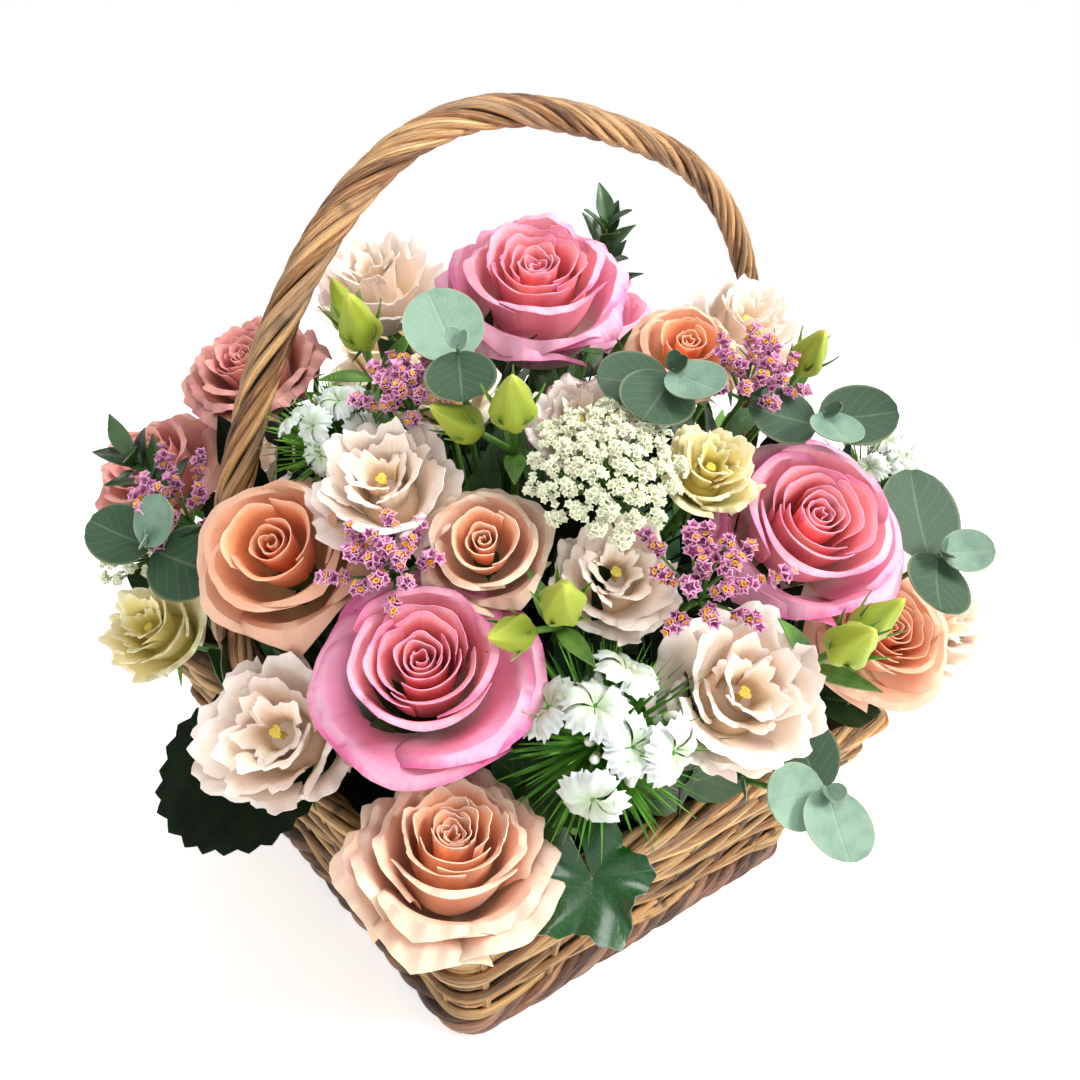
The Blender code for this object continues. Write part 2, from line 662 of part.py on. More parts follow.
def make_border():
    """Make the rolled border that closes the weave, with a twist that swells at every stake."""
    middle_height = WALL_TOP + GAP + BORDER_RADIUS
    middle = rim_outline(RIM_HALF_X - 1.5 * MM, RIM_HALF_Y - 1.5 * MM)
    count = len(middle)
    sides = 5
    loops = []
    for k, (x, y) in enumerate(middle):
        before = Vector(middle[k - 1])
        after = Vector(middle[(k + 1) % count])
        run = (after - before).normalized()
        out = Vector((run.y, -run.x, 0))
        radius = BORDER_RADIUS * (1.0 if k % 2 else 0.9)
        loops.append([Vector((x, y, middle_height)) + radius *
                      (math.cos(a) * out + math.sin(a) * Vector((0, 0, 1)))
                      for a in (math.tau * (n + 0.5) / sides for n in range(sides))])
    points = [p for loop in loops for p in loop]
    faces = []
    for k in range(count):
        for n in range(sides):
            a = k * sides + n
            b = k * sides + (n + 1) % sides
            c = ((k + 1) % count) * sides + (n + 1) % sides
            d = ((k + 1) % count) * sides + n
            faces += [(a, c, b), (a, d, c)]
    return add_object("basket_border", Solid(points, faces), "willow")


def handle_path():
    """Return the points along the handle, from its left foot over the arch to its right one."""
    base = WALL_TOP + 2 * BORDER_RADIUS
    power = 2 / HANDLE_SQUARENESS
    foot_x, foot_z = HANDLE_FOOT
    half = []
    for k in range(41):
        angle = math.pi / 2 * k / 40
        x = HANDLE_HALF_SPAN * math.sin(angle) ** power
        z = base + HANDLE_RISE * max(0.0, math.cos(angle)) ** power
        if z > base + 0.25 * HANDLE_RISE:
            half.append((x, z))
    half += [(0.98 * HANDLE_HALF_SPAN, base + 0.19 * HANDLE_RISE),
             (0.90 * HANDLE_HALF_SPAN, base + 0.09 * HANDLE_RISE),
             (0.78 * HANDLE_HALF_SPAN, base), (foot_x, foot_z)]
    right = [Vector((x, 0, z)) for x, z in half]
    left = [Vector((-p.x, 0, p.z)) for p in reversed(right[1:])]
    return left + right


def evenly(points, steps):
    """Return points spaced alike along a polyline."""
    lengths = [0.0]
    for a, b in zip(points, points[1:]):
        lengths.append(lengths[-1] + (b - a).length)
    out = []
    for k in range(steps + 1):
        want = lengths[-1] * k / steps
        n = next(i for i in range(1, len(points)) if lengths[i] >= want - 1e-9)
        share = (want - lengths[n - 1]) / (lengths[n] - lengths[n - 1])
        out.append(points[n - 1].lerp(points[n], share))
    return out


def make_handle():
    """Make the handle: willow rods twisted round each other like a rope, bent to an arch."""
    path = evenly(handle_path(), HANDLE_STEPS)
    loops = []
    for k, point in enumerate(path):
        run = (path[min(k + 1, HANDLE_STEPS)] - path[max(k - 1, 0)]).normalized()
        side = Vector((0, 1, 0))
        up = run.cross(side).normalized()
        turn = math.tau * HANDLE_TURNS * k / HANDLE_STEPS
        loop = []
        for n in range(2 * HANDLE_RODS):
            reach = HANDLE_RADIUS * (1.0 if n % 2 else 0.82)
            angle = turn + math.tau * n / (2 * HANDLE_RODS)
            loop.append(point + reach * (math.cos(angle) * side + math.sin(angle) * up))
        loops.append(loop)
    body = rings(loops)
    return add_object("basket_handle", body, "willow")


def box_loop(half, corner, height):
    """Return a square with cut corners at a height."""
    inner = half - corner
    return [Vector((x, y, height)) for x, y in (
        (half, -inner), (half, inner), (inner, half), (-inner, half),
        (-half, inner), (-half, -inner), (-inner, -half), (inner, -half))]


def make_tray():
    """Make the watertight tray between the basket and the foam."""
    low = FLOOR_THICKNESS + GAP
    outer, inner = FOAM_HALF + TRAY_THICKNESS + GAP, FOAM_HALF + GAP
    loops = [box_loop(outer, 10 * MM, low), box_loop(outer, 10 * MM, TRAY_TOP),
             box_loop(inner, 9.6 * MM, TRAY_TOP), box_loop(inner, 9.6 * MM, low + TRAY_THICKNESS)]
    return add_object("water_tray", rings(loops), "tray")


def make_foam(stems):
    """Make the foam block, cut to a dome above the tray, with a plain hole for each stem."""
    low = FLOOR_THICKNESS + 2 * GAP + TRAY_THICKNESS
    loops = [box_loop(FOAM_HALF, 10 * MM, low)]
    loops += [box_loop(half, 10 * MM + 0.3 * (FOAM_HALF - half), height)
              for half, height in FOAM_DOME]
    foam = add_object("floral_foam", rings(loops), "foam")
    holes = []
    for foot, neck, radius in stems:
        run = (neck - foot).normalized()
        across, up = axes_of(run)
        start = foot - run * (radius + GAP)
        wide = radius + GAP / math.cos(math.pi / STEM_SIDES)
        holes.append(rings([circle(start, across, up, wide, STEM_SIDES),
                            circle(neck, across, up, wide, STEM_SIDES)]))
    combine(foam, holes, "foam", "DIFFERENCE")
    return foam


# ---------------------------------------------------------------- arrangement

def stem(foot, neck, radius, turn):
    """Return a stem cut slantwise at its foot, the cut's low side to the plant's own turn."""
    run = (neck - foot).normalized()
    across, up = axes_of(run)
    low = circle(foot, across, up, radius, STEM_SIDES)
    slant = [p - run * 0.8 * radius * math.cos(math.tau * k / STEM_SIDES - turn)
             for k, p in enumerate(low)]
    return rings([slant, circle(neck, across, up, 0.85 * radius, STEM_SIDES)])


def head_matrix(place, turn):
    """Return where a head goes: its own +Z faces outwards, and more to the front if it stands there."""
    outward = (place - FACE_FROM).normalized()
    facing = outward.lerp(FRONT, FRONT_PULL * max(0.0, outward.dot(FRONT))).normalized()
    level, rising = axes_of(facing)
    frame = Matrix((level, rising, facing)).transposed().to_4x4()
    return Matrix.Translation(place) @ frame @ Matrix.Rotation(turn, 4, "Z")


def tree_of(parts):
    """Return a search tree over all faces of some solids."""
    points, faces = [], []
    for part in parts:
        shift = len(points)
        points += part.points
        faces += [tuple(shift + p for p in face) for face in part.faces]
    return BVHTree.FromPolygons(points, faces)


def settle(plant, placed):
    """Place one plant clear of those already there, turned and drawn out as little as it takes."""
    name, kind, _, wish, size, turn = plant
    wish = Vector(wish) * MM
    outward = (wish - FOCUS).normalized()
    foot = FOCUS + (wish - FOCUS) * FOOT_SHARE
    head, neck_height = HEADS[kind](size * MM, random.Random(name))
    for lift in LIFTS:
        for extra in TURNS:
            angle = math.radians(turn + extra)
            matrix = head_matrix(wish + outward * lift * MM, angle)
            neck = matrix @ Vector((0, 0, neck_height))
            run = (neck - foot).normalized()
            parts = [part.moved(matrix) for part in head]
            parts.append(stem(foot, neck + run * NECK_SINK, STEM_RADIUS[kind], angle))
            tree = tree_of(parts)
            if not any(tree.overlap(other) for other in placed.values()):
                return parts, tree, (foot, neck, STEM_RADIUS[kind])
    raise ValueError(f"{name} finds no clear place")


def plant_all(obstacles):
    """Place and make every plant; return the line of each stem."""
    placed = {made.name: tree_of([as_solid(made)]) for made in obstacles}
    stems = []
    for plant in PLANTS:
        parts, tree, line = settle(plant, placed)
        placed[plant[0]] = tree
        stems.append(line)
        body = add_object(plant[0], parts[-1], plant[2])
        combine(body, parts[:-1], plant[2])
    return stems


def as_solid(made):
    """Return an object's mesh as a solid."""
    return Solid([v.co.copy() for v in made.data.vertices],
                 [tuple(face.vertices) for face in made.data.polygons])


def finish_shading():
    """Shade the rounded pieces smooth and keep real corners sharp."""
    for made in bpy.data.objects:
        made.data.shade_smooth()
        made.data.set_sharp_from_angle(angle=math.radians(40))


def main():
    """Build the whole arrangement."""
    for old in list(bpy.data.objects):
        bpy.data.objects.remove(old)
    basket = [make_walls(), make_floor(), make_border(), make_handle(), make_tray()]
    stems = plant_all(basket)
    make_foam(stems)
    finish_shading()


main()
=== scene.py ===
"""Looks of a flower basket: a willow basket with a twisted handle, full of cut flowers and leaves.

Every plant of the frame is replaced by a finer one that stands on the same stem and faces the same
way. The weave, the rolled border and the twisted handle are made rod by rod. Metres, +Z up.
"""

import json  # noqa: E402
import logging  # noqa: E402
import math  # noqa: E402
import random  # noqa: E402
from dataclasses import dataclass, field  # noqa: E402
from enum import Enum  # noqa: E402
from typing import Any, Callable, Mapping, Optional, Sequence, Union  # noqa: E402

import bpy  # noqa: E402
import numpy as np  # noqa: E402
from mathutils import Matrix, Vector  # noqa: E402

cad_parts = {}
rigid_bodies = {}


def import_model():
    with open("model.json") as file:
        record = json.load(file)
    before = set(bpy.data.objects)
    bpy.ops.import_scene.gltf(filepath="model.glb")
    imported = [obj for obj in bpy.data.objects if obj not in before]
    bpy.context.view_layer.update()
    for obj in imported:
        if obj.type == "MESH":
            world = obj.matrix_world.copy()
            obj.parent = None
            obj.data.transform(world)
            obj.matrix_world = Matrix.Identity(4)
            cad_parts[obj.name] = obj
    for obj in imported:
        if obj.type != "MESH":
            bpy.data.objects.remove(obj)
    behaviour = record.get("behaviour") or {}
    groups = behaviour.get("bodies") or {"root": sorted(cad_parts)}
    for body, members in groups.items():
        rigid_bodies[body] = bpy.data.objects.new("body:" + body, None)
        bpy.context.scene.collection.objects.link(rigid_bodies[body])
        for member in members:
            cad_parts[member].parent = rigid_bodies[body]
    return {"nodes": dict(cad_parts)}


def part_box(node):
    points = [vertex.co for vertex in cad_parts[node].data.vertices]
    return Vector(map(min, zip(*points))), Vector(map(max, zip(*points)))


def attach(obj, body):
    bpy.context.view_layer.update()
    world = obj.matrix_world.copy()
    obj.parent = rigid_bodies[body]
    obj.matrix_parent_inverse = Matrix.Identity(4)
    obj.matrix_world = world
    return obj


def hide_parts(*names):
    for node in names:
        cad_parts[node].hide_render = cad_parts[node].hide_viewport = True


for stray in list(bpy.data.objects):
    bpy.data.objects.remove(stray)
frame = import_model()

LOG = logging.getLogger("flower_basket")
MM = 0.001
BODY = "root"
GOLDEN_ANGLE = math.radians(137.5)
FOCUS = Vector((0.0, 0.0, 0.060))
FACE_FROM = Vector((0.050, 0.045, 0.020))
FRONT = Vector((-0.56, -0.52, 0.645)).normalized()
FRONT_PULL = 0.75
FOOT_SHARE = 0.36
STEM_SIDES = 4
FLOWER, GREEN, HEART = 0, 1, 2
FOOT_WILLOW = 1
ROD_SIDES = 7
CORE_SIDES = 6
LEAF_THICKNESS = 0.45 * MM

Colour = tuple[float, float, float]
Array = np.ndarray
Surface = Callable[[Array, Array], tuple[Array, Array, Array]]
Profile = tuple[tuple[float, float], ...]


def shades(codes: str) -> list[Colour]:
    """Turn colours as a paint chart gives them into linear light.

    Args:
        codes: The colours, each with two digits for its red, its green and its blue.

    Returns:
        The linear colours.
    """
    made = []
    for code in codes.split():
        parts = [part / 255 for part in bytes.fromhex(code)]
        made.append(tuple(p / 12.92 if p <= 0.04045 else ((p + 0.055) / 1.055) ** 2.4
                          for p in parts))
    return made


# ------------------------------------------------------------------------------ shader maths

class Value:
    """A shader value; sums, products and powers of it add Math nodes."""

    def __init__(self, net: "Net", socket: bpy.types.NodeSocket) -> None:
        """Wrap a socket of a net."""
        self.net = net
        self.socket = socket

    def _math(self, operation: str, first: Any, second: Any = None) -> "Value":
        """Add one Math node over one or two values."""
        inputs = {0: first} if second is None else {0: first, 1: second}
        return self.net.read("ShaderNodeMath", {"operation": operation}, inputs)

    def __add__(self, other: Any) -> "Value":
        """Add."""
        return self._math("ADD", self, other)

    def __radd__(self, other: Any) -> "Value":
        """Add to a number."""
        return self._math("ADD", other, self)

    def __sub__(self, other: Any) -> "Value":
        """Subtract."""
        return self._math("SUBTRACT", self, other)

    def __rsub__(self, other: Any) -> "Value":
        """Subtract from a number."""
        return self._math("SUBTRACT", other, self)

    def __mul__(self, other: Any) -> "Value":
        """Multiply."""
        return self._math("MULTIPLY", self, other)

    def __rmul__(self, other: Any) -> "Value":
        """Multiply a number."""
        return self._math("MULTIPLY", other, self)

    def __pow__(self, other: Any) -> "Value":
        """Raise to a power."""
        return self._math("POWER", self, other)

    def wave(self) -> "Value":
        """Take the cosine."""
        return self._math("COSINE", self)

    def size(self) -> "Value":
        """Drop the sign."""
        return self._math("ABSOLUTE", self)

    def most(self, other: Any) -> "Value":
        """Take the larger of two."""
        return self._math("MAXIMUM", self, other)

    def between(self, low: float, high: float) -> "Value":
        """Rise smoothly from 0 at `low` to 1 at `high`."""
        return self.net.read("ShaderNodeMapRange", {"interpolation_type": "SMOOTHSTEP"},
                             {0: self, 1: low, 2: high, 3: 0.0, 4: 1.0})


class Net:
    """The node tree of one material or world."""

    def __init__(self, owner: Union[bpy.types.Material, bpy.types.World]) -> None:
        """Clear the owner's tree.

        Args:
            owner: The material or world.
        """
        self.owner = owner
        owner.use_nodes = True
        self.tree = owner.node_tree
        self.tree.nodes.clear()

    @classmethod
    def named(cls, name: str) -> "Net":
        """Make a material with an empty tree."""
        return cls(bpy.data.materials.new(name))

    def node(self, kind: str, settings: Optional[Mapping[str, Any]] = None,
             inputs: Optional[Mapping[Union[int, str], Any]] = None) -> bpy.types.Node:
        """Add a node.

        Args:
            kind: The node's type.
            settings: Its properties, set first; `stops` are a ramp's (position, colour) pairs.
            inputs: The value or the link of each socket that differs from its default.

        Returns:
            The node.
        """
        made = self.tree.nodes.new(kind)
        for key, value in (settings or {}).items():
            if key == "stops":
                elements = made.color_ramp.elements
                elements.remove(elements[1])
                for n, (position, colour) in enumerate(value):
                    stop = elements[0] if n == 0 else elements.new(position)
                    stop.position = position
                    stop.color = (*colour, 1.0)
            else:
                setattr(made, key, value)
        for key, value in (inputs or {}).items():
            if isinstance(value, Value):
                self.tree.links.new(value.socket, made.inputs[key])
            elif isinstance(value, tuple) and made.inputs[key].type == "RGBA":
                made.inputs[key].default_value = (*value, 1.0)
            else:
                made.inputs[key].default_value = value
        return made

    def read(self, kind: str, settings: Optional[Mapping[str, Any]] = None,
             inputs: Optional[Mapping[Union[int, str], Any]] = None,
             output: Union[int, str] = 0) -> Value:
        """Add a node and return one of its outputs."""
        return Value(self, self.node(kind, settings, inputs).outputs[output])

    def marks(self) -> tuple[Value, Value, Value, Value]:
        """Read the four values that every point of a form carries.

        Returns:
            How far along, how far across, the share and the chance of the part it lies on.
        """
        read = self.node("ShaderNodeAttribute", {"attribute_name": "mark"})
        split = self.node("ShaderNodeSeparateColor", None, {0: Value(self, read.outputs["Color"])})
        return (*(Value(self, out) for out in split.outputs), Value(self, read.outputs["Alpha"]))

    def vector(self, x: Any, y: Any, z: Any) -> Value:
        """Join three values into a vector."""
        return self.read("ShaderNodeCombineXYZ", None, {0: x, 1: y, 2: z})

    def along(self, vector: Value, way: Sequence[float]) -> Value:
        """Return how far a vector reaches in a direction."""
        return self.read("ShaderNodeVectorMath", {"operation": "DOT_PRODUCT"},
                         {0: vector, 1: tuple(way)}, "Value")

    def place(self) -> Value:
        """Return where a point of the surface lies on its own object."""
        return self.read("ShaderNodeTexCoord", output="Object")

    def noise(self, vector: Value, scale: float = 1.0, detail: float = 2.0,
              roughness: float = 0.5) -> Value:
        """Add a noise and return its height, about 0.5 on average."""
        return self.read("ShaderNodeTexNoise", None, {
            "Vector": vector, "Scale": scale, "Detail": detail, "Roughness": roughness})

    def mix(self, factor: Any, first: Any, second: Any, blend: str = "MIX") -> Value:
        """Mix two colours."""
        return self.read("ShaderNodeMix", {"data_type": "RGBA", "blend_type": blend},
                         {0: factor, 6: first, 7: second}, 2)

    def lit(self, colour: Any, light: Value) -> Value:
        """Multiply a colour by a brightness."""
        return self.mix(1.0, colour, self.vector(light, light, light), "MULTIPLY")

    def ramp(self, factor: Value, stops: Sequence[tuple[float, Colour]]) -> Value:
        """Return the colour that a value picks from a ramp."""
        return self.read("ShaderNodeValToRGB", {"stops": stops}, {0: factor})

    def bump(self, height: Value, strength: float, distance: float) -> Value:
        """Return the normal of a surface with a relief."""
        return self.read("ShaderNodeBump", None, {
            "Height": height, "Strength": strength, "Distance": distance})

    def finish(self, **sockets: Any) -> bpy.types.Material:
        """Close the tree with a surface shader.

        Args:
            **sockets: Values or links of the shader's sockets, with _ for each space.

        Returns:
            The material.
        """
        named = {key.replace("_", " "): value for key, value in sockets.items()}
        shader = self.read("ShaderNodeBsdfPrincipled", None, named)
        self.node("ShaderNodeOutputMaterial", None, {0: shader})
        return self.owner


# ------------------------------------------------------------------------------ meshes

def reaches(points: Array) -> Array:
    """Return how far along an open line each of its points is."""
    steps = np.linalg.norm(np.diff(points, axis=0), axis=1)
    return np.concatenate([[0.0], np.cumsum(steps)])


def placed(points: Array, matrix: Matrix) -> Array:
    """Return points moved by a matrix."""
    return points @ np.array(matrix.to_3x3()).T + np.array(matrix.translation)


@dataclass
class Form:
    """Points and faces in the making, with the marks that the finishes read."""

    points: list[Array] = field(default_factory=list)
    marks: list[Array] = field(default_factory=list)
    faces: list[tuple[Array, int]] = field(default_factory=list)
    count: int = 0

    def add(self, points: Array, faces: Sequence[Array], marks: Array, slot: int = 0) -> None:
        """Add a shell.

        Args:
            points: Its points, one row each.
            faces: Arrays of faces, each with as many corners in every row.
            marks: Along, across, share and chance of each point.
            slot: The place of its material on the piece.
        """
        self.points.append(points)
        self.marks.append(marks)
        self.faces += [(block + self.count, slot) for block in faces if len(block)]
        self.count += len(points)

    def join(self, other: "Form", matrix: Matrix) -> None:
        """Take in another form.

        Args:
            other: The form.
            matrix: Where it goes.
        """
        self.points += [placed(points, matrix) for points in other.points]
        self.marks += other.marks
        self.faces += [(block + self.count, slot) for block, slot in other.faces]
        self.count += other.count

    def sheet(self, surface: Surface, cells: tuple[int, int], thickness: float,
              share: float = 0.0, chance: float = 0.0, slot: int = 0,
              matrix: Optional[Matrix] = None) -> None:
        """Add a thin closed sheet over a surface.

        Args:
            surface: Gives x, y and z over arrays of u and v, each from 0 to 1.
            cells: Cells along u and along v.
            thickness: How thick the sheet is.
            share: Mark of the whole sheet.
            chance: Mark of the whole sheet.
            slot: The place of its material on the piece.
            matrix: Where it goes.
        """
        across, along = cells
        u, v = np.meshgrid(np.linspace(0, 1, across + 1), np.linspace(0, 1, along + 1))
        grid = np.stack(np.broadcast_arrays(*surface(u, v)), axis=-1)
        du, dv = np.gradient(grid, axis=1), np.gradient(grid, axis=0)
        normal = np.cross(du, dv)
        normal /= np.maximum(np.linalg.norm(normal, axis=-1, keepdims=True), 1e-12)
        half = normal * thickness / 2
        points = np.concatenate([(grid + half).reshape(-1, 3), (grid - half).reshape(-1, 3)])
        if matrix is not None:
            points = placed(points, matrix)
        shift = (across + 1) * (along + 1)
        index = np.arange(shift).reshape(along + 1, across + 1)
        quads = np.stack([index[:-1, :-1], index[:-1, 1:], index[1:, 1:], index[1:, :-1]],
                         axis=-1).reshape(-1, 4)
        edge = np.concatenate([index[0, :-1], index[:-1, -1], index[-1, :0:-1], index[:0:-1, 0]])
        after = np.roll(edge, -1)
        rim = np.stack([edge, edge + shift, after + shift, after], axis=-1)
        flat = np.stack([v, u, np.full_like(u, share), np.full_like(u, chance)],
                        axis=-1).reshape(-1, 4)
        self.add(points, [quads, quads[:, ::-1] + shift, rim], np.concatenate([flat, flat]), slot)

    def tube(self, path: Union[Array, Sequence[Sequence[float]]],
             radius: Union[float, Array], sides: int, chance: float = 0.0,
             share: float = 0.0, slot: int = 0, closed: bool = False) -> None:
        """Add a rod along a path, with its ends closed unless the path is.

        Args:
            path: Points of the path.
            radius: Its radius, or one radius for each point.
            sides: How many sides it has.
            chance: Mark of the whole rod.
            share: Mark of the whole rod.
            slot: The place of its material on the piece.
            closed: Whether the path runs back into its start.
        """
        path = np.asarray(path)
        count = len(path)
        run = (np.roll(path, -1, 0) - np.roll(path, 1, 0)) if closed else np.gradient(path, axis=0)
        run /= np.maximum(np.linalg.norm(run, axis=1, keepdims=True), 1e-12)
        least = np.eye(3)[np.argmin(np.abs(run[0]))]
        side = np.cross(run[0], least)
        sides_of = []
        for way in run:
            side = side - way * side.dot(way)
            side = side / np.linalg.norm(side)
            sides_of.append(side)
        first = np.array(sides_of)
        second = np.cross(run, first)
        angle = 2 * math.pi * np.arange(sides) / sides
        radii = np.broadcast_to(np.asarray(radius, float), (count,))[:, None, None]
        points = path[:, None] + radii * (np.cos(angle)[None, :, None] * first[:, None]
                                          + np.sin(angle)[None, :, None] * second[:, None])
        rows = np.arange(count if closed else count - 1)[:, None]
        ring = np.arange(sides)[None, :]
        a = rows * sides + ring
        b = rows * sides + (ring + 1) % sides
        c = ((rows + 1) % count) * sides + (ring + 1) % sides
        d = ((rows + 1) % count) * sides + ring
        blocks = [np.stack([a, b, c, d], axis=-1).reshape(-1, 4)]
        if not closed:
            blocks += [np.arange(sides)[None, ::-1],
                       (count - 1) * sides + np.arange(sides)[None, :]]
        marks = np.stack([np.repeat(reaches(path), sides), np.tile(np.arange(sides) / sides, count),
                          np.full(count * sides, share), np.full(count * sides, chance)], axis=-1)
        self.add(points.reshape(-1, 3), blocks, marks, slot)

    def twig(self, path: Sequence[Sequence[float]], radii: Sequence[float], sides: int,
             chance: float, slot: int = GREEN) -> None:
        """Add a tapered tube; its radii are in millimetres.

        Args:
            path: Points of the path.
            radii: Its radius at each point.
            sides: How many sides it has.
            chance: Mark of the whole tube.
            slot: The place of its material on the piece.
        """
        self.tube(path, np.array(radii) * MM, sides, chance, slot=slot)

    def piece(self, name: str, finishes: Sequence[bpy.types.Material],
              sharp: float = 55.0) -> bpy.types.Object:
        """Make the object, which rides on the frame.

        Args:
            name: The object's name.
            finishes: Its materials, by slot.
            sharp: Angle in degrees above which an edge stays sharp.

        Returns:
            The object.
        """
        mesh = bpy.data.meshes.new(name)
        mesh.vertices.add(self.count)
        mesh.vertices.foreach_set("co", np.concatenate(self.points).astype(np.float32).ravel())
        corners = np.concatenate([block.ravel() for block, _ in self.faces])
        sizes = np.concatenate([np.full(len(b), b.shape[1]) for b, _ in self.faces])
        mesh.loops.add(len(corners))
        mesh.loops.foreach_set("vertex_index", corners.astype(np.int32))
        mesh.polygons.add(len(sizes))
        starts = np.concatenate([[0], np.cumsum(sizes)[:-1]])
        mesh.polygons.foreach_set("loop_start", starts.astype(np.int32))
        slots = np.concatenate([np.full(len(b), s) for b, s in self.faces])
        mesh.polygons.foreach_set("material_index", slots.astype(np.int32))
        mesh.update(calc_edges=True)
        layer = mesh.attributes.new("mark", "FLOAT_COLOR", "POINT")
        layer.data.foreach_set("color", np.concatenate(self.marks).astype(np.float32).ravel())
        for finish in finishes:
            mesh.materials.append(finish)
        mesh.shade_smooth()
        mesh.set_sharp_from_angle(angle=math.radians(sharp))
        made = bpy.data.objects.new(name, mesh)
        bpy.context.scene.collection.objects.link(made)
        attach(made, BODY)
        return made

    def stand_in(self, name: str, finishes: Sequence[bpy.types.Material],
                 node: str) -> bpy.types.Object:
        """Make the object that is shown instead of a node of the frame.

        Args:
            name: The object's name.
            finishes: Its materials, by slot.
            node: The node, which it hides.

        Returns:
            The object.
        """
        made = self.piece(name, finishes)
        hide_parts(node)
        return made


def leaf_frame(base: Sequence[float], along: Sequence[float],
               facing: Sequence[float] = (0, 0, 1)) -> Matrix:
    """Return where a leaf goes that runs along its own Y with its upper face along its own Z.

    Args:
        base: Where the leaf starts.
        along: The direction it runs in.
        facing: The direction its upper face turns to as far as it can.

    Returns:
        The matrix.
    """
    y = Vector(along).normalized()
    x = y.cross(Vector(facing)).normalized()
    made = Matrix((x, y, x.cross(y))).transposed().to_4x4()
    made.translation = Vector(base)
    return made


def pointing(direction: Sequence[float], place: Sequence[float], turn: float = 0.0) -> Matrix:
    """Return where a part goes whose own Z points in a direction."""
    made = Vector(direction).to_track_quat("Z", "Y").to_matrix().to_4x4()
    return Matrix.Translation(Vector(place)) @ made @ Matrix.Rotation(turn, 4, "Z")


def leaning(angle: float, lean: float) -> Vector:
    """Return the unit vector that leans from +Z towards an angle round it."""
    return Vector((math.cos(angle) * math.sin(lean), math.sin(angle) * math.sin(lean),
                   math.cos(lean)))


def leaf(form: Form, matrix: Matrix, length: float, width: float, chance: float, slot: int,
         fold: float = 0.22, droop: float = 0.15, roundness: float = 0.8,
         cells: tuple[int, int] = (4, 5), wave: float = 0.0) -> None:
    """Add a leaf with a pointed tip.

    Args:
        form: The form that takes it.
        matrix: Where it goes.
        length: From its foot to its tip.
        width: At its widest.
        chance: Mark of the whole leaf.
        slot: The place of its material on the piece.
        fold: How far it is folded up along its rib.
        droop: How far its tip bends down.
        roundness: Under 1 its widest place is nearer its foot.
        cells: Cells across and along.
        wave: How far its edges wave.
    """
    def surface(u: Array, v: Array) -> tuple[Array, Array, Array]:
        """Shape the leaf.

        Args:
            u: Across it, from 0 to 1.
            v: Along it, from 0 to 1.

        Returns:
            The x, y and z of its points.
        """
        side = 2 * u - 1
        half = 0.5 * width * (0.03 + 0.97 * np.sin(math.pi * np.clip(v, 0, 1) ** roundness))
        lift = fold * half * np.abs(side) - droop * length * v * v
        return side * half, length * v, lift + wave * width * side * np.sin(9 * v + 6 * chance)

    form.sheet(surface, cells, LEAF_THICKNESS, 0.0, chance, slot, matrix)


# ------------------------------------------------------------------------------ finishes

@dataclass(frozen=True)
class PetalFinish:
    """A petal: warm walls at the heart, a pale root outside, fine veins and a tinted lip."""

    name: str
    walls: Colour
    face: Colour
    outer: Colour
    lip: Colour
    tip: Colour
    root: Colour
    lip_share: float = 0.7
    tip_share: float = 0.5
    tip_start: float = 0.86
    roughness: float = 0.5

    def material(self) -> bpy.types.Material:
        """Mix the material.

        Returns:
            The material.
        """
        net = Net.named(self.name)
        along, across, share, chance = net.marks()
        side = (2.0 * across - 1.0).size()
        streak = net.noise(net.vector(across * 30.0 + chance * 9.0, along * 1.8, chance * 7.0),
                           detail=3.0, roughness=0.6)
        cloud = net.noise(net.place(), scale=70.0)
        heart = 1.0 - share.between(0.15, 0.80)
        deep = 1.0 - along.between(0.40, 0.98)
        body = net.mix(share.between(0.50, 0.95), self.face, self.outer)
        body = net.mix(heart * (0.30 + 0.70 * deep), body, self.walls)
        body = net.mix((1.0 - heart) * (1.0 - along.between(0.10, 0.62)), body, self.root)
        edge = along + 0.05 * side + 0.10 * (cloud - 0.5)
        body = net.mix(edge.between(0.84, 1.0) * self.lip_share, body, self.lip)
        corner = edge + 0.12 * side * chance + 0.16 * (streak - 0.5)
        body = net.mix(corner.between(self.tip_start, self.tip_start + 0.16)
                       * (0.25 + 0.75 * share) * self.tip_share, body, self.tip)
        light = 0.87 + 0.12 * chance + 0.20 * (streak - 0.5) + 0.12 * (cloud - 0.5)
        body = net.lit(body, light)
        normal = net.bump(streak + 0.5 * cloud, strength=0.30, distance=0.4 * MM)
        return net.finish(Base_Color=body, Roughness=self.roughness + 0.12 * cloud,
                          Normal=normal, Subsurface_Weight=0.30, Subsurface_Scale=0.005,
                          Subsurface_Radius=(1.0, 0.5, 0.4), Sheen_Weight=0.06)


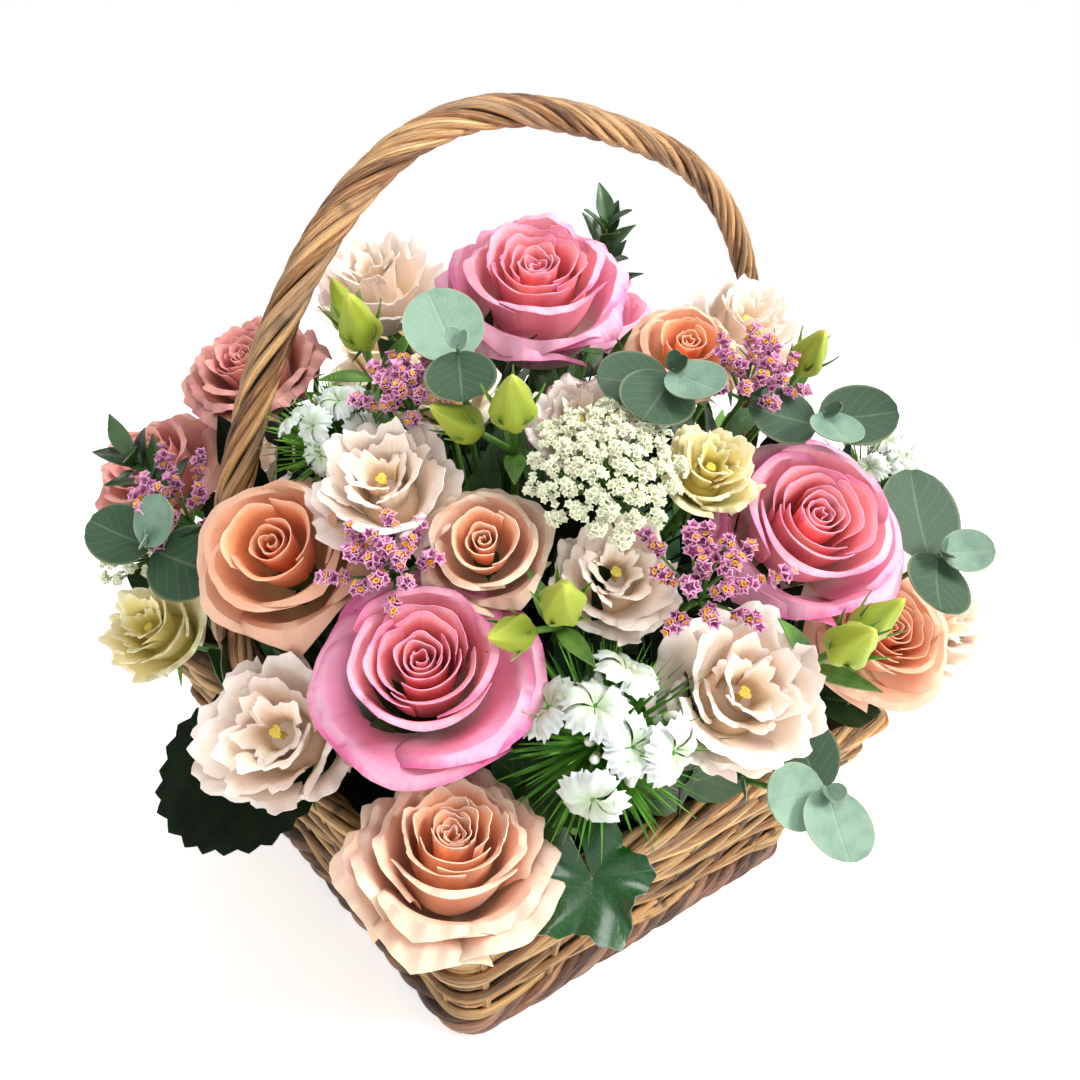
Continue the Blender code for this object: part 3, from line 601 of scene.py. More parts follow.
@dataclass(frozen=True)
class LeafFinish:
    """A leaf: a pale rib and side veins on a blotched face, dull or glossy."""

    name: str
    face: Colour
    shadow: Colour
    vein: Colour
    edge: Colour
    ribs: float = 9.0
    slant: float = 5.0
    vein_share: float = 0.5
    roughness: float = 0.45
    coat: float = 0.0
    aged: Optional[Colour] = None
    side_veins: float = 0.6
    edge_share: float = 0.6
    shine: float = 0.35

    def material(self) -> bpy.types.Material:
        """Mix the material.

        Returns:
            The material.
        """
        net = Net.named(self.name)
        along, across, _, chance = net.marks()
        side = (2.0 * across - 1.0).size()
        cloud = net.noise(net.place(), scale=120.0, detail=3.0)
        grain = net.noise(net.place(), scale=900.0)
        rib = 1.0 - side.between(0.0, 0.07)
        comb = ((along * self.ribs - side * self.slant * 0.5 + 0.4 * cloud) * math.tau).wave()
        veins = rib.most(comb.between(0.86, 1.0) * (1.0 - side.between(0.75, 1.0))
                          * self.side_veins)
        body = net.mix((cloud + 0.5 * chance - 0.25).between(0.25, 0.75), self.shadow, self.face)
        if self.aged is not None:
            body = net.mix(1.0 - chance.between(0.35, 0.65), body, self.aged)
        body = net.mix(veins * self.vein_share, body, self.vein)
        body = net.mix(side.between(0.90, 1.0) * self.edge_share, body, self.edge)
        body = net.lit(body, 0.78 + 0.30 * chance + 0.12 * (grain - 0.5))
        normal = net.bump(veins * -0.6 + 0.25 * grain + 0.4 * cloud, strength=0.5,
                          distance=0.5 * MM)
        return net.finish(Base_Color=body, Roughness=self.roughness + 0.18 * (grain - 0.5),
                          Normal=normal, Coat_Weight=self.coat, Coat_Roughness=0.18,
                          Specular_IOR_Level=self.shine, Subsurface_Weight=0.06,
                          Subsurface_Scale=0.002)


@dataclass(frozen=True)
class WillowFinish:
    """A willow rod: bark streaks along it, paler patches, and painted shade, near black, on the
    cores, stakes and sheet that lie behind the rods.
    """

    name: str
    pale: Colour
    middle: Colour
    dark: Colour
    grey: Colour
    # Painted shade: the near-black colour that the share mark mixes into parts hidden behind the
    # rods.
    painted_shade: Colour = (0.012, 0.006, 0.003)

    def material(self) -> bpy.types.Material:
        """Mix the material.

        Returns:
            The material.
        """
        net = Net.named(self.name)
        along, across, share, chance = net.marks()
        turn = (across * math.tau).wave()
        streak = net.noise(net.vector(along * 55.0, turn * 2.4 + chance * 31.0, chance * 50.0),
                           detail=4.0, roughness=0.62)
        fine = net.noise(net.vector(along * 190.0, turn * 9.0 + chance * 17.0, across * 6.0),
                         detail=3.0, roughness=0.6)
        patch = net.noise(net.vector(along * 17.0, chance * 40.0, turn * 0.4))
        knot = net.noise(net.vector(along * 42.0, chance * 77.0, 3.0), detail=1.0)
        body = net.ramp(0.62 * streak + 0.38 * fine + 0.36 * chance - 0.18, (
            (0.26, self.dark), (0.44, self.middle), (0.62, self.pale)))
        body = net.mix((patch + 0.3 * (chance - 0.5)).between(0.50, 0.72) * 0.62, body, self.grey)
        body = net.mix(knot.between(0.64, 0.70) * 0.8, body, self.dark)
        crack = net.noise(net.vector(along * 26.0, turn * 15.0 + chance * 23.0, across * 9.0),
                          roughness=0.7)
        body = net.mix(crack.between(0.58, 0.68) * 0.75, body, self.dark)
        # Painted shade: the share marks cores, stakes and the sheet behind the rods, and darkens
        # them towards near black in place of the shade that falls there.
        body = net.mix(share * 0.92, body, self.painted_shade)
        normal = net.bump(0.6 * streak + 0.5 * fine + knot.between(0.62, 0.70)
                          - 0.8 * crack.between(0.56, 0.68), strength=0.85, distance=0.8 * MM)
        return net.finish(Base_Color=body, Roughness=0.52 + 0.3 * (fine - 0.3), Normal=normal,
                          Coat_Weight=0.10 * patch, Coat_Roughness=0.35)


@dataclass(frozen=True)
class GrainFinish:
    """A fine-grained surface: foam, a plastic tray, a stamen or a small floret."""

    name: str
    low: Colour
    high: Colour
    scale: float
    depth: float
    roughness: float
    tip: Optional[Colour] = None

    def material(self) -> bpy.types.Material:
        """Mix the material.

        Returns:
            The material.
        """
        net = Net.named(self.name)
        place = net.place()
        coarse = net.noise(place, self.scale, detail=3.0)
        fine = net.noise(place, self.scale * 5.0)
        body = net.mix((0.6 * coarse + 0.4 * fine).between(0.36, 0.66), self.low, self.high)
        if self.tip is not None:
            along, _, _, chance = net.marks()
            body = net.mix((along + 0.3 * (chance - 0.5)).between(0.55, 0.95), body, self.tip)
        normal = net.bump(0.6 * coarse + 0.4 * fine, strength=0.6, distance=self.depth)
        return net.finish(Base_Color=body, Roughness=self.roughness + 0.2 * (fine - 0.5),
                          Normal=normal)


PINK = PetalFinish("petal_pink", *shades("fe685c fc98a4 fa9cbe fdbed0 e44894 f6e2d0"),
                   lip_share=0.75, tip_share=0.85, tip_start=0.92)
DUSK = PetalFinish("petal_dusk", *shades("d66a60 dc8482 d8907e e8b09c ce6080 deb08c"),
                   tip_share=0.6, tip_start=0.90)
PEACH = PetalFinish("petal_peach", *shades("fc965c fab690 eebea6 f6cab4 dcd2b0 e8c4a4"),
                    lip_share=0.75, tip_share=0.6, tip_start=0.92)
SALMON = PetalFinish("petal_salmon", *shades("f47a42 f69e70 f0b292 fac4a0 e89e88 f0c896"),
                     tip_share=0.4)
CREAM = PetalFinish("petal_cream", *shades("eeb878 f8d6a6 f8e6ca fce8c8 f4dec4 f0e4b4"))
BLUSH = PetalFinish("petal_blush", *shades("fadab8 fbe4d0 fbe8da fceee4 f6d0c4 f2e2b6"),
                    lip_share=0.8, tip_start=0.94, roughness=0.55)
YELLOW = PetalFinish("petal_yellow", *shades("dec860 f4e296 f8eab2 faf0c8 f8e0a0 c4ce5c"),
                     lip_share=0.8, tip_share=0.4, tip_start=0.94, roughness=0.55)
EDGED = PetalFinish("petal_edged", *shades("e8ceb2 f7e2d6 f8e6de f8e6e0 6c1e3e dedea0"),
                    lip_share=0.4, tip_share=0.95, tip_start=0.965, roughness=0.55)
WHITE = PetalFinish("petal_white", *shades("ced8b8 e0e4de e4e7e4 eceeec eaecea b2c88c"),
                    lip_share=0.8, tip_share=0.2, tip_start=0.94, roughness=0.55)
BUD = PetalFinish("petal_bud", *shades("92a426 a8b430 b0bc3c bec454 cec868 628824"), lip_share=0.6,
                  tip_start=0.85)

STALK = LeafFinish("leaf_stalk", *shades("5a8638 366226 8cb060 709642"), vein_share=0.35)
SEPAL = LeafFinish("leaf_sepal", *shades("628e3a 386224 8cb05a 82a04c"), vein_share=0.35)
GUM = LeafFinish("leaf_eucalyptus", *shades("809e8a 628270 a0b696 a8ac82"), ribs=6.0,
                 vein_share=0.18, roughness=0.60, aged=shades("325036")[0], side_veins=0.4,
                 edge_share=0.35)
DARK = LeafFinish("leaf_dark", *shades("305426 163014 648248 3e5e2e"), vein_share=0.35,
                  roughness=0.40, coat=0.15)
GALAX = LeafFinish("leaf_galax", *shades("0e200b 050e05 22381a 0e1e0b"), ribs=6.0, slant=3.0,
                   vein_share=0.30, roughness=0.62, side_veins=0.12, shine=0.12)
IVY = LeafFinish("leaf_ivy", *shades("104216 051e09 60904e 143e18"), ribs=5.0, slant=3.0,
                 vein_share=0.40, roughness=0.26, coat=0.5, side_veins=0.2)
SPIKE = LeafFinish("leaf_spike", *shades("6eb03a 3c8024 96c85c 78b446"), vein_share=0.3)

STATICE = GrainFinish("floret_statice", *shades("8a2e68 d078b0"), scale=420.0, depth=0.0003,
                      roughness=0.7, tip=shades("e4aacc")[0])
STATICE_TIP = GrainFinish("floret_statice_tip", *shades("e29632 f6ce60"), scale=900.0, depth=0.0003,
                          roughness=0.6)
LACE = GrainFinish("floret_lace", *shades("e2e6c4 fcfcee"), scale=600.0, depth=0.0003,
                   roughness=0.7)
POLLEN = GrainFinish("stamen", *shades("ceba3c f0de6e"), scale=1200.0, depth=0.0003, roughness=0.8)
FOAM = GrainFinish("wet_foam", *shades("16341c 2a542c"), scale=1400.0, depth=0.0004, roughness=0.9)
TRAY = GrainFinish("tray_plastic", *shades("102816 18361e"), scale=500.0, depth=0.0001,
                   roughness=0.4)

WILLOW = WillowFinish("willow_rod", *shades("d8a870 96663c 301e14 705e54"))
GOLDEN = WillowFinish("willow_golden", *shades("e0b272 ac7a46 3a2416 947a60"))
RUDDY = WillowFinish("willow_ruddy", *shades("b28464 76503a 2a1b15 6c5650"))

FRAMEWOOD = GrainFinish("willow_floor", *shades("462e1c 785232"), scale=240.0, depth=0.0004,
                        roughness=0.7)


class Palette:
    """Materials, each made once."""

    def __init__(self) -> None:
        """Start with none made."""
        self.made: dict[str, bpy.types.Material] = {}

    def of(self, finish: Any) -> bpy.types.Material:
        """Return the material of a finish.

        Args:
            finish: The finish.

        Returns:
            Its material.
        """
        if finish.name not in self.made:
            self.made[finish.name] = finish.material()
        return self.made[finish.name]

    def all(self, finishes: Sequence[Any]) -> list[bpy.types.Material]:
        """Return the materials of several finishes."""
        return [self.of(finish) for finish in finishes]


# ------------------------------------------------------------------------------ plants

@dataclass
class Plant:
    """One cut stem with what it carries, in place of the plain one of the frame."""

    node: str
    radius: float
    finishes: tuple[Any, ...]
    neck: float = -0.9
    stem_radius: float = 1.8 * MM
    lift: float = 0.0
    spin: float = 0.0
    root_depth: float = 0.75
    form: Form = field(default_factory=Form, init=False)
    seed: random.Random = field(init=False)

    def __post_init__(self) -> None:
        """Draw the plant's chances from its name."""
        self.seed = random.Random(self.node)

    def head(self) -> None:
        """Add the head to the form, about its own place with its face to +Z."""
        raise NotImplementedError

    def at_root(self) -> Vector:
        """Return where the head's own twigs start."""
        return Vector((0, 0, -self.root_depth * self.radius))

    def solid(self, knots: Profile, sides: int, chance: float, slot: int = GREEN) -> None:
        """Add a turned solid under the head; its knots are shares of the head's radius."""
        self.form.join(turned(knots, sides, self.radius, chance, slot), Matrix())

    def sepals(self, foot: float, length: float, width: float, phase: float) -> None:
        """Add a ring of five narrow green leaves under a bloom.

        Args:
            foot: Height of their feet; it and the next two are shares of the radius.
            length: Length of each.
            width: Width of each.
            phase: Angle of the first.
        """
        base = (0, 0, foot * self.radius)
        for k in range(5):
            way = leaning(phase + math.tau * k / 5, 1.35)
            leaf(self.form, leaf_frame(base, way), length * self.radius, width * self.radius,
                 (k * 0.37) % 1, GREEN, fold=0.2, droop=0.25, roundness=0.7, cells=(2, 5))

    def corners(self) -> Array:
        """Read the frame's plant.

        Returns:
            Its different points, one row each.
        """
        mesh = frame["nodes"][self.node].data
        flat = np.empty(3 * len(mesh.vertices), np.float32)
        mesh.vertices.foreach_get("co", flat)
        return np.unique(np.round(flat.reshape(-1, 3).astype(float), 5), axis=0)

    def stand(self) -> tuple[Vector, Matrix]:
        """Find how the frame's plant stands.

        Returns:
            The centre of its foot, and where its head goes.
        """
        points = self.corners()
        gap = np.linalg.norm(points - np.array(FOCUS), axis=1)
        ring = points[np.argsort(gap)[:STEM_SIDES]]
        foot = Vector(ring.mean(axis=0))
        wish = FOCUS + (foot - FOCUS) / FOOT_SHARE
        outward = (wish - FACE_FROM).normalized()
        pull = FRONT_PULL * max(0.0, outward.dot(FRONT))
        facing = outward.lerp(FRONT, pull).normalized()
        level = Vector((0, 0, 1)).cross(facing).normalized()
        facing = Matrix.Rotation(-math.radians(self.lift), 3, level) @ facing
        matrix = Matrix((level, facing.cross(level), facing)).transposed().to_4x4()
        matrix.translation = wish
        run = (matrix @ Vector((0, 0, self.neck * self.radius)) - foot).normalized()
        across = Vector((0, 0, 1)).cross(run).normalized()
        up = run.cross(across)
        low = Vector((0.0, 0.0))
        for point in ring:
            arm = Vector(point) - foot
            low -= arm.dot(run) * Vector((arm.dot(across), arm.dot(up)))
        turn = math.atan2(low.y, low.x) + math.radians(self.spin)
        return foot, matrix @ Matrix.Rotation(turn, 4, "Z")

    def build(self, palette: Palette) -> bpy.types.Object:
        """Make the plant and let it stand for the frame's.

        Args:
            palette: Where its materials come from.

        Returns:
            The piece.
        """
        foot, matrix = self.stand()
        self.head()
        form = Form()
        form.join(self.form, matrix)
        neck, tip = (matrix @ Vector((0, 0, self.neck * self.radius + past))
                     for past in (0.0, 3 * MM))
        form.tube((foot, foot.lerp(neck, 0.5), neck, tip),
                  np.array((1.0, 0.95, 0.9, 0.9)) * self.stem_radius, sides=8, chance=0.5,
                  slot=GREEN)
        return form.stand_in(f"{self.node}_bloom", palette.all(self.finishes), self.node)


def bent(knots: Array, share: Array) -> Array:
    """Return the smooth curve that five knots steer, at a share of its way.

    Args:
        knots: Five numbers.
        share: Where to read the curve, 0 at the first knot and 1 at the last.

    Returns:
        The values.
    """
    return sum(math.comb(4, k) * knots[k] * share ** k * (1 - share) ** (4 - k)
               for k in range(5))


def between(stages: Mapping[float, Profile], share: float) -> Array:
    """Return the profile of a petal between the profiles that are given.

    Args:
        stages: Profiles by the share of the way out from the heart.
        share: The share that is wanted.

    Returns:
        Five rows of radius and height.
    """
    keys = list(stages)
    rows = np.array([stages[key] for key in keys]).reshape(len(keys), -1)
    return np.array([np.interp(share, keys, column) for column in rows.T]).reshape(5, 2)


@dataclass(frozen=True)
class Petal:
    """One petal, bent along a profile from its root to its lip; sizes are shares of the head."""

    profile: Array
    angle: float
    spread: float
    waist: float
    corners: float
    point: float
    roll: float
    tuck: float
    crease: float
    ruffle: tuple[tuple[float, float], ...]
    cells: tuple[int, int]
    thickness: float

    def add(self, form: Form, size: float, share: float, chance: float) -> None:
        """Add the petal.

        Args:
            form: The form that takes it.
            size: Radius of the head.
            share: Mark of the whole petal.
            chance: Mark of the whole petal, which also sets its waves.
        """
        def surface(u: Array, v: Array) -> tuple[Array, Array, Array]:
            """Shape the petal.

            Args:
                u: Across it, from 0 to 1.
                v: Along it, from 0 to 1.

            Returns:
                The x, y and z of its points.
            """
            side = 2 * u - 1
            flank = np.abs(side)
            rise = v * (1 - self.corners * flank ** 2.6) + self.point * (1 - flank) ** 2 * v ** 4
            r = bent(self.profile[:, 0], rise) + self.tuck * side * v
            z = bent(self.profile[:, 1], rise)
            r += 0.6 * self.roll * flank ** 3 * v ** 4
            z -= self.roll * flank ** 3 * v ** 4
            r += self.crease * np.abs(np.sin(2.2 * side + 9 * chance)) * v ** 1.5
            for n, (depth, waves) in enumerate(self.ruffle):
                wave = depth * v ** 3 * np.sin(math.pi * waves * side + 40 * chance * (n + 1))
                r += 0.6 * wave
                z += wave
            widen = self.waist + (1 - self.waist) * np.sin(math.pi / 2 * np.minimum(1, v / 0.62))
            theta = self.angle + self.spread * widen * side
            r = np.maximum(r, 0.004)
            return size * r * np.cos(theta), size * r * np.sin(theta), size * z

        form.sheet(surface, self.cells, self.thickness, share, chance)


class Opening(Enum):
    """How far a bloom has opened: the profiles of its petals from the heart out."""

    FLAT = {
        0.0: ((0.02, -0.30), (0.05, -0.15), (0.06, 0.10), (0.05, 0.24), (0.05, 0.28)),
        0.3: ((0.04, -0.45), (0.17, -0.36), (0.22, 0.00), (0.19, 0.33), (0.225, 0.37)),
        0.55: ((0.05, -0.58), (0.36, -0.50), (0.42, -0.05), (0.37, 0.40), (0.47, 0.40)),
        0.7: ((0.06, -0.66), (0.46, -0.58), (0.54, -0.12), (0.50, 0.40), (0.65, 0.31)),
        1.0: ((0.07, -0.76), (0.50, -0.68), (0.64, -0.30), (0.84, 0.16), (1.01, -0.05)),
    }
    CUPPED = {
        0.0: ((0.02, -0.30), (0.05, -0.15), (0.06, 0.10), (0.05, 0.30), (0.05, 0.34)),
        0.3: ((0.04, -0.45), (0.20, -0.38), (0.25, 0.02), (0.21, 0.38), (0.25, 0.42)),
        0.55: ((0.05, -0.64), (0.40, -0.56), (0.47, 0.00), (0.42, 0.46), (0.54, 0.44)),
        0.7: ((0.06, -0.72), (0.56, -0.66), (0.63, -0.06), (0.56, 0.48), (0.74, 0.34)),
        1.0: ((0.07, -0.84), (0.72, -0.80), (0.86, -0.36), (0.76, 0.26), (1.01, -0.02)),
    }
    RUFFLED = {
        0.0: ((0.04, -0.60), (0.14, -0.40), (0.18, 0.02), (0.16, 0.28), (0.30, 0.34)),
        0.4: ((0.05, -0.70), (0.26, -0.50), (0.30, -0.02), (0.30, 0.34), (0.46, 0.40)),
        0.7: ((0.06, -0.78), (0.42, -0.64), (0.50, -0.14), (0.54, 0.32), (0.72, 0.32)),
        1.0: ((0.08, -0.82), (0.46, -0.76), (0.66, -0.36), (0.82, 0.10), (0.99, -0.02)),
    }


@dataclass
class Rose(Plant):
    """A garden rose: a tight spiral heart in rings of ever broader petals that roll back."""

    heart: int = 9
    rings: tuple[tuple[int, float], ...] = ((3, 0.42), (3, 0.53), (4, 0.67), (3, 0.92), (4, 1.0))
    neck: float = -0.86
    stem_radius: float = 2.4 * MM
    opening: Opening = Opening.FLAT
    frill: float = 0.010
    heart_share: float = 0.32
    outer_from: float = 0.6

    def head(self) -> None:
        """Add the head."""
        seed = self.seed
        phase = seed.uniform(0, math.tau)
        self.solid(((0.10, -0.92), (0.24, -0.66), (0.16, -0.2), (0.03, 0.1)), sides=10,
                   chance=0.2)
        for k in range(self.heart):
            share = self.heart_share * k / (self.heart - 1)
            self.petal(share, phase + k * GOLDEN_ANGLE, 1.75 - 0.9 * share)
        for n, (count, share) in enumerate(self.rings):
            start = phase + 2.1 * n + seed.uniform(-0.3, 0.3)
            for k in range(count):
                angle = start + math.tau * k / count + seed.uniform(-0.12, 0.12)
                self.petal(share + 0.012 * k, angle, 1.42 * math.pi / max(count, 4))
        self.sepals(-0.80, 0.75, 0.22, phase)

    def petal(self, share: float, angle: float, spread: float) -> None:
        """Add one petal.

        Args:
            share: Its place, from 0 at the heart to 1 outside.
            angle: The direction it stands in.
            spread: Half the angle that it takes up round the heart.
        """
        seed = self.seed
        outer = max(0.0, share - self.outer_from) / (1 - self.outer_from)
        profile = between(self.opening.value, min(share, 1.0))
        profile[3:, 1] += seed.uniform(-0.05, 0.04) * (0.3 + share)
        profile[2:, 0] *= 1 + seed.uniform(-0.05, 0.03) * share
        petal = Petal(profile, angle, spread * seed.uniform(0.92, 1.06), waist=0.34,
                      corners=0.10 + 0.16 * outer,
                      point=0.01 + 0.11 * outer * seed.uniform(0.3, 1.3), roll=0.22 * outer,
                      tuck=0.010 + 0.040 * share, crease=0.018 * share,
                      ruffle=((0.010 + self.frill * (0.4 + share), seed.uniform(1.3, 2.3)),
                              (self.frill * 0.8 * share, seed.uniform(4.5, 6.5))),
                      cells=(26, 8) if outer else (16, 6), thickness=0.32 * MM)
        petal.add(self.form, self.radius, share, seed.random())


def turned(profile: Sequence[tuple[float, float]], sides: int, size: float, chance: float,
           slot: int, lobes: int = 0, depth: float = 0.0, twist: float = 0.0) -> Form:
    """Return a turned solid with lobes round it, from (radius, height) pairs.

    Args:
        profile: Pairs from its foot to its tip.
        sides: How many sides it has.
        size: What the pairs are multiplied by.
        chance: Mark of the whole solid.
        slot: The place of its material on the piece.
        lobes: How many lobes run round it.
        depth: How deep the grooves between them are, as a share of the radius.
        twist: How far the lobes turn from foot to tip.

    Returns:
        The solid.
    """
    form = Form()
    path = np.array([(0.0, 0.0, size * z) for _, z in profile])
    form.tube(path, np.array([size * max(r, 0.01) for r, _ in profile]), sides, chance, slot=slot)
    rows = np.repeat(np.linspace(0, 1, len(profile)), sides)
    if lobes:
        points = form.points[0]
        angle = np.arctan2(points[:, 1], points[:, 0])
        points[:, :2] *= (1 + depth * np.cos(lobes * angle + twist * rows))[:, None]
    form.marks[0][:, 0] = rows
    return form


@dataclass
class Lisianthus(Plant):
    """A double lisianthus: broad thin petals with ruffled edges, crowded round the stamens."""

    neck: float = -0.90
    stamens: int = 7
    whorls: tuple[tuple[int, float, float, float], ...] = (
        (3, 0.05, 1.0, 1.35), (3, 0.45, 0.3, 1.20), (4, 0.76, 0.62, 0.98), (5, 1.0, 0.0, 0.84))

    def head(self) -> None:
        """Add the head."""
        form, seed, size = self.form, self.seed, self.radius
        phase = seed.uniform(0, math.tau)
        self.solid(((0.08, -0.95), (0.22, -0.74), (0.20, -0.66), (0.10, -0.60)), sides=9,
                   chance=0.2)
        self.solid(((0.22, -0.74), (0.42, -0.58), (0.36, -0.30), (0.10, -0.12)), sides=12,
                   chance=0.5, slot=FLOWER)
        for count, share, first, spread in self.whorls:
            for k in range(count):
                profile = between(Opening.RUFFLED.value, share)
                profile[2:, 1] += seed.uniform(-0.12, 0.10)
                profile[3:, 0] *= 1 + seed.uniform(-0.16, 0.04)
                angle = phase + first + math.tau * k / count + seed.uniform(-0.3, 0.3)
                petal = Petal(profile, angle, spread * seed.uniform(0.9, 1.1), waist=0.34,
                              corners=0.10, point=0.0, roll=0.06,
                              tuck=seed.uniform(-0.10, 0.12), crease=0.03,
                              ruffle=((0.095, seed.uniform(1.4, 2.2)),
                                      (0.034, seed.uniform(4.5, 6.5)), (0.012, 12.0)),
                              cells=(28, 7), thickness=0.35 * MM)
                petal.add(form, size, share, seed.random())
        for k in range(self.stamens):
            out = leaning(k * GOLDEN_ANGLE, 0.10 + 0.04 * k)
            form.twig([out * size * t for t in (-0.3, 0.0, 0.16)], (0.5, 0.5, 1.2), sides=5,
                      chance=k / self.stamens, slot=HEART)
        self.sepals(-0.85, 0.8, 0.12, phase + 0.6)


@dataclass
class Dianthus(Plant):
    """A sweet william head: toothed white florets above a ruff of thin green bracts."""

    neck: float = -0.95
    florets: int = 6
    buds: int = 8
    bracts: int = 200

    def head(self) -> None:
        """Add the head."""
        form, seed, size, root = self.form, self.seed, self.radius, self.at_root()
        middle = Vector((0, 0, -0.5 * size))
        self.solid(((0.08, -1.0), (0.2, -0.66), (0.04, -0.3)), sides=8, chance=0.3)
        for k in range(self.florets):
            outer = k > 1
            angle = 1.1 + math.pi * k if not outer else math.tau * (k - 2) / (self.florets - 2)
            out = leaning(angle + seed.uniform(-0.15, 0.15), 0.78 if outer else 0.30)
            place = middle + out * size * seed.uniform(0.84, 1.0)
            face = (out + leaning(seed.uniform(0, math.tau), 1.5) * 0.35).normalized()
            self.floret(pointing(face, place, seed.uniform(0, 1.2)),
                        size * seed.uniform(0.35, 0.42))
            form.twig((root, root.lerp(place, 0.6), place), (1.3, 0.9, 1.5), sides=6,
                      chance=0.4)
        for k in range(self.buds):
            out = leaning(k * GOLDEN_ANGLE + 0.5, seed.uniform(0.3, 0.9))
            place = middle + out * size * seed.uniform(0.72, 0.86)
            bud = turned(((0.5, -1.9), (0.62, -0.8), (0.5, 0.1), (0.72, 0.8), (0.5, 1.6),
                          (0.1, 2.0)), 9, 0.075 * size, seed.random(), FLOWER)
            form.join(bud, pointing(out, place))
            form.twig((root, root.lerp(place, 0.6), place), (1.0, 0.8, 1.6), sides=6,
                      chance=0.5)
        for k in range(self.bracts):
            out = leaning(k * GOLDEN_ANGLE, 0.20 + 1.15 * math.sqrt(k / self.bracts))
            reach = size * seed.uniform(1.0, 1.42)
            leaf(form, leaf_frame(root, out + leaning(seed.uniform(0, 6), 1.2) * 0.2), reach,
                 0.042 * size, seed.random(), GREEN, fold=0.3, droop=seed.uniform(-0.3, 0.3),
                 roundness=0.7, cells=(1, 3))

    def floret(self, matrix: Matrix, size: float) -> None:
        """Add a floret of five broad petals with toothed ends.

        Args:
            matrix: Where it goes.
            size: Its radius.
        """
        for k in range(5):
            angle = math.tau * k / 5
            chance = self.seed.random()
            lift = 0.05 * (-1) ** k

            def surface(u: Array, v: Array) -> tuple[Array, Array, Array]:
                """Shape the petal.

                Args:
                    u: Across it, from 0 to 1.
                    v: Along it, from 0 to 1.

                Returns:
                    The x, y and z of its points.
                """
                side = 2 * u - 1
                tooth = 1 - 0.15 * v ** 4 * (1 - np.abs((10 * u) % 2 - 1))
                r = size * (0.06 + 0.94 * v) * tooth * (1 - 0.14 * side ** 2 * v)
                theta = angle + side * (0.44 + 0.24 * np.minimum(1, 1.8 * v))
                z = size * (0.24 * np.sin(2.6 * v) - 0.24 * v * v + lift * v + 0.09 * side * v
                            + 0.06 * v * np.cos(6 * side + 9 * chance))
                return r * np.cos(theta), r * np.sin(theta), z

            self.form.sheet(surface, (10, 4), 0.3 * MM, share=0.5, chance=chance, matrix=matrix)


def cup(form: Form, matrix: Matrix, size: float, lobes: int, flare: float, chance: float,
        slot: int, cells: int) -> None:
    """Add a small funnel with a lobed rim.

    Args:
        form: The form that takes it.
        matrix: Where it goes.
        size: Its radius.
        lobes: Lobes round its rim.
        flare: Over 1 it widens late, under 1 early.
        chance: Mark of the whole funnel.
        slot: The place of its material on the piece.
        cells: Cells round it.
    """
    def surface(u: Array, v: Array) -> tuple[Array, Array, Array]:
        """Shape the funnel.

        Args:
            u: Across it, from 0 to 1.
            v: Along it, from 0 to 1.

        Returns:
            The x, y and z of its points.
        """
        angle = math.tau * u
        r = size * (0.16 + 0.84 * v ** flare) * (1 + 0.26 * v * np.cos(lobes * angle))
        return r * np.cos(angle), r * np.sin(angle), size * 1.5 * (v - 0.5)

    form.sheet(surface, (cells, 1), 0.25 * MM, share=0.5, chance=chance, slot=slot,
               matrix=matrix)


@dataclass
class Limonium(Plant):
    """A statice spray: forked branchlets set with purple cups, some with a yellow heart."""

    neck: float = -0.92
    stem_radius: float = 1.3 * MM
    branches: int = 15
    cups: int = 9
    yellow_share: float = 0.45

    def head(self) -> None:
        """Add the head."""
        form, seed, size, root = self.form, self.seed, self.radius, self.at_root()
        self.solid(((0.06, -1.0), (0.1, -0.66), (0.04, -0.3)), sides=7, chance=0.3)
        for k in range(self.branches):
            out = leaning(k * GOLDEN_ANGLE, 0.12 + 0.92 * k / self.branches)
            end = root + out * size * seed.uniform(1.25, 1.65)
            form.twig((root, root.lerp(end, 0.5) + Vector((0, 0, 0.06 * size)), end),
                      (0.8, 0.6, 0.5), sides=5, chance=0.6)
            for n in range(self.cups):
                spot = root.lerp(end, 0.62 + 0.40 * n / self.cups)
                turn = leaning(n * GOLDEN_ANGLE + k, seed.uniform(0.5, 1.3))
                way = (out + turn * 0.9).normalized()
                place = spot + way * size * seed.uniform(0.06, 0.16)
                cup(form, pointing(way, place), seed.uniform(1.5, 2.2) * MM, lobes=5, flare=1.2,
                    chance=seed.random(), slot=FLOWER, cells=10)
                if seed.random() < self.yellow_share:
                    cup(form, pointing(way, place + way * 1.0 * MM), 1.0 * MM, lobes=4,
                        flare=0.8, chance=seed.random(), slot=HEART, cells=6)


@dataclass
class Umbel(Plant):
    """A lace flower: rays that end in knots of tiny white florets over a low dome."""

    neck: float = -0.90
    stem_radius: float = 1.6 * MM
    rays: int = 44
    florets: int = 14

    def head(self) -> None:
        """Add the head."""
        form, seed, size, root = self.form, self.seed, self.radius, self.at_root()
        self.solid(((0.06, -1.0), (0.1, -0.66), (0.04, -0.4)), sides=7, chance=0.3)
        for k in range(self.rays):
            angle = k * GOLDEN_ANGLE
            reach = math.sqrt((k + 0.4) / self.rays)
            place = Vector((0.86 * size * reach * math.cos(angle),
                            0.86 * size * reach * math.sin(angle),
                            size * (0.16 - 0.42 * reach * reach)))
            form.twig((root, root.lerp(place, 0.5), place), (0.7, 0.55, 0.5), sides=5,
                      chance=0.6)
            out = (place - root).normalized()
            for n in range(self.florets):
                way = (out + leaning(n * GOLDEN_ANGLE + k, 1.45 * math.sqrt(n / self.florets))
                       * 1.3).normalized()
                spot = place + way * size * seed.uniform(0.06, 0.17) - out * size * 0.06
                cup(form, pointing(way, spot, seed.uniform(0, 1)), seed.uniform(0.9, 1.5) * MM,
                    lobes=5, flare=0.7, chance=seed.random(), slot=FLOWER, cells=10)


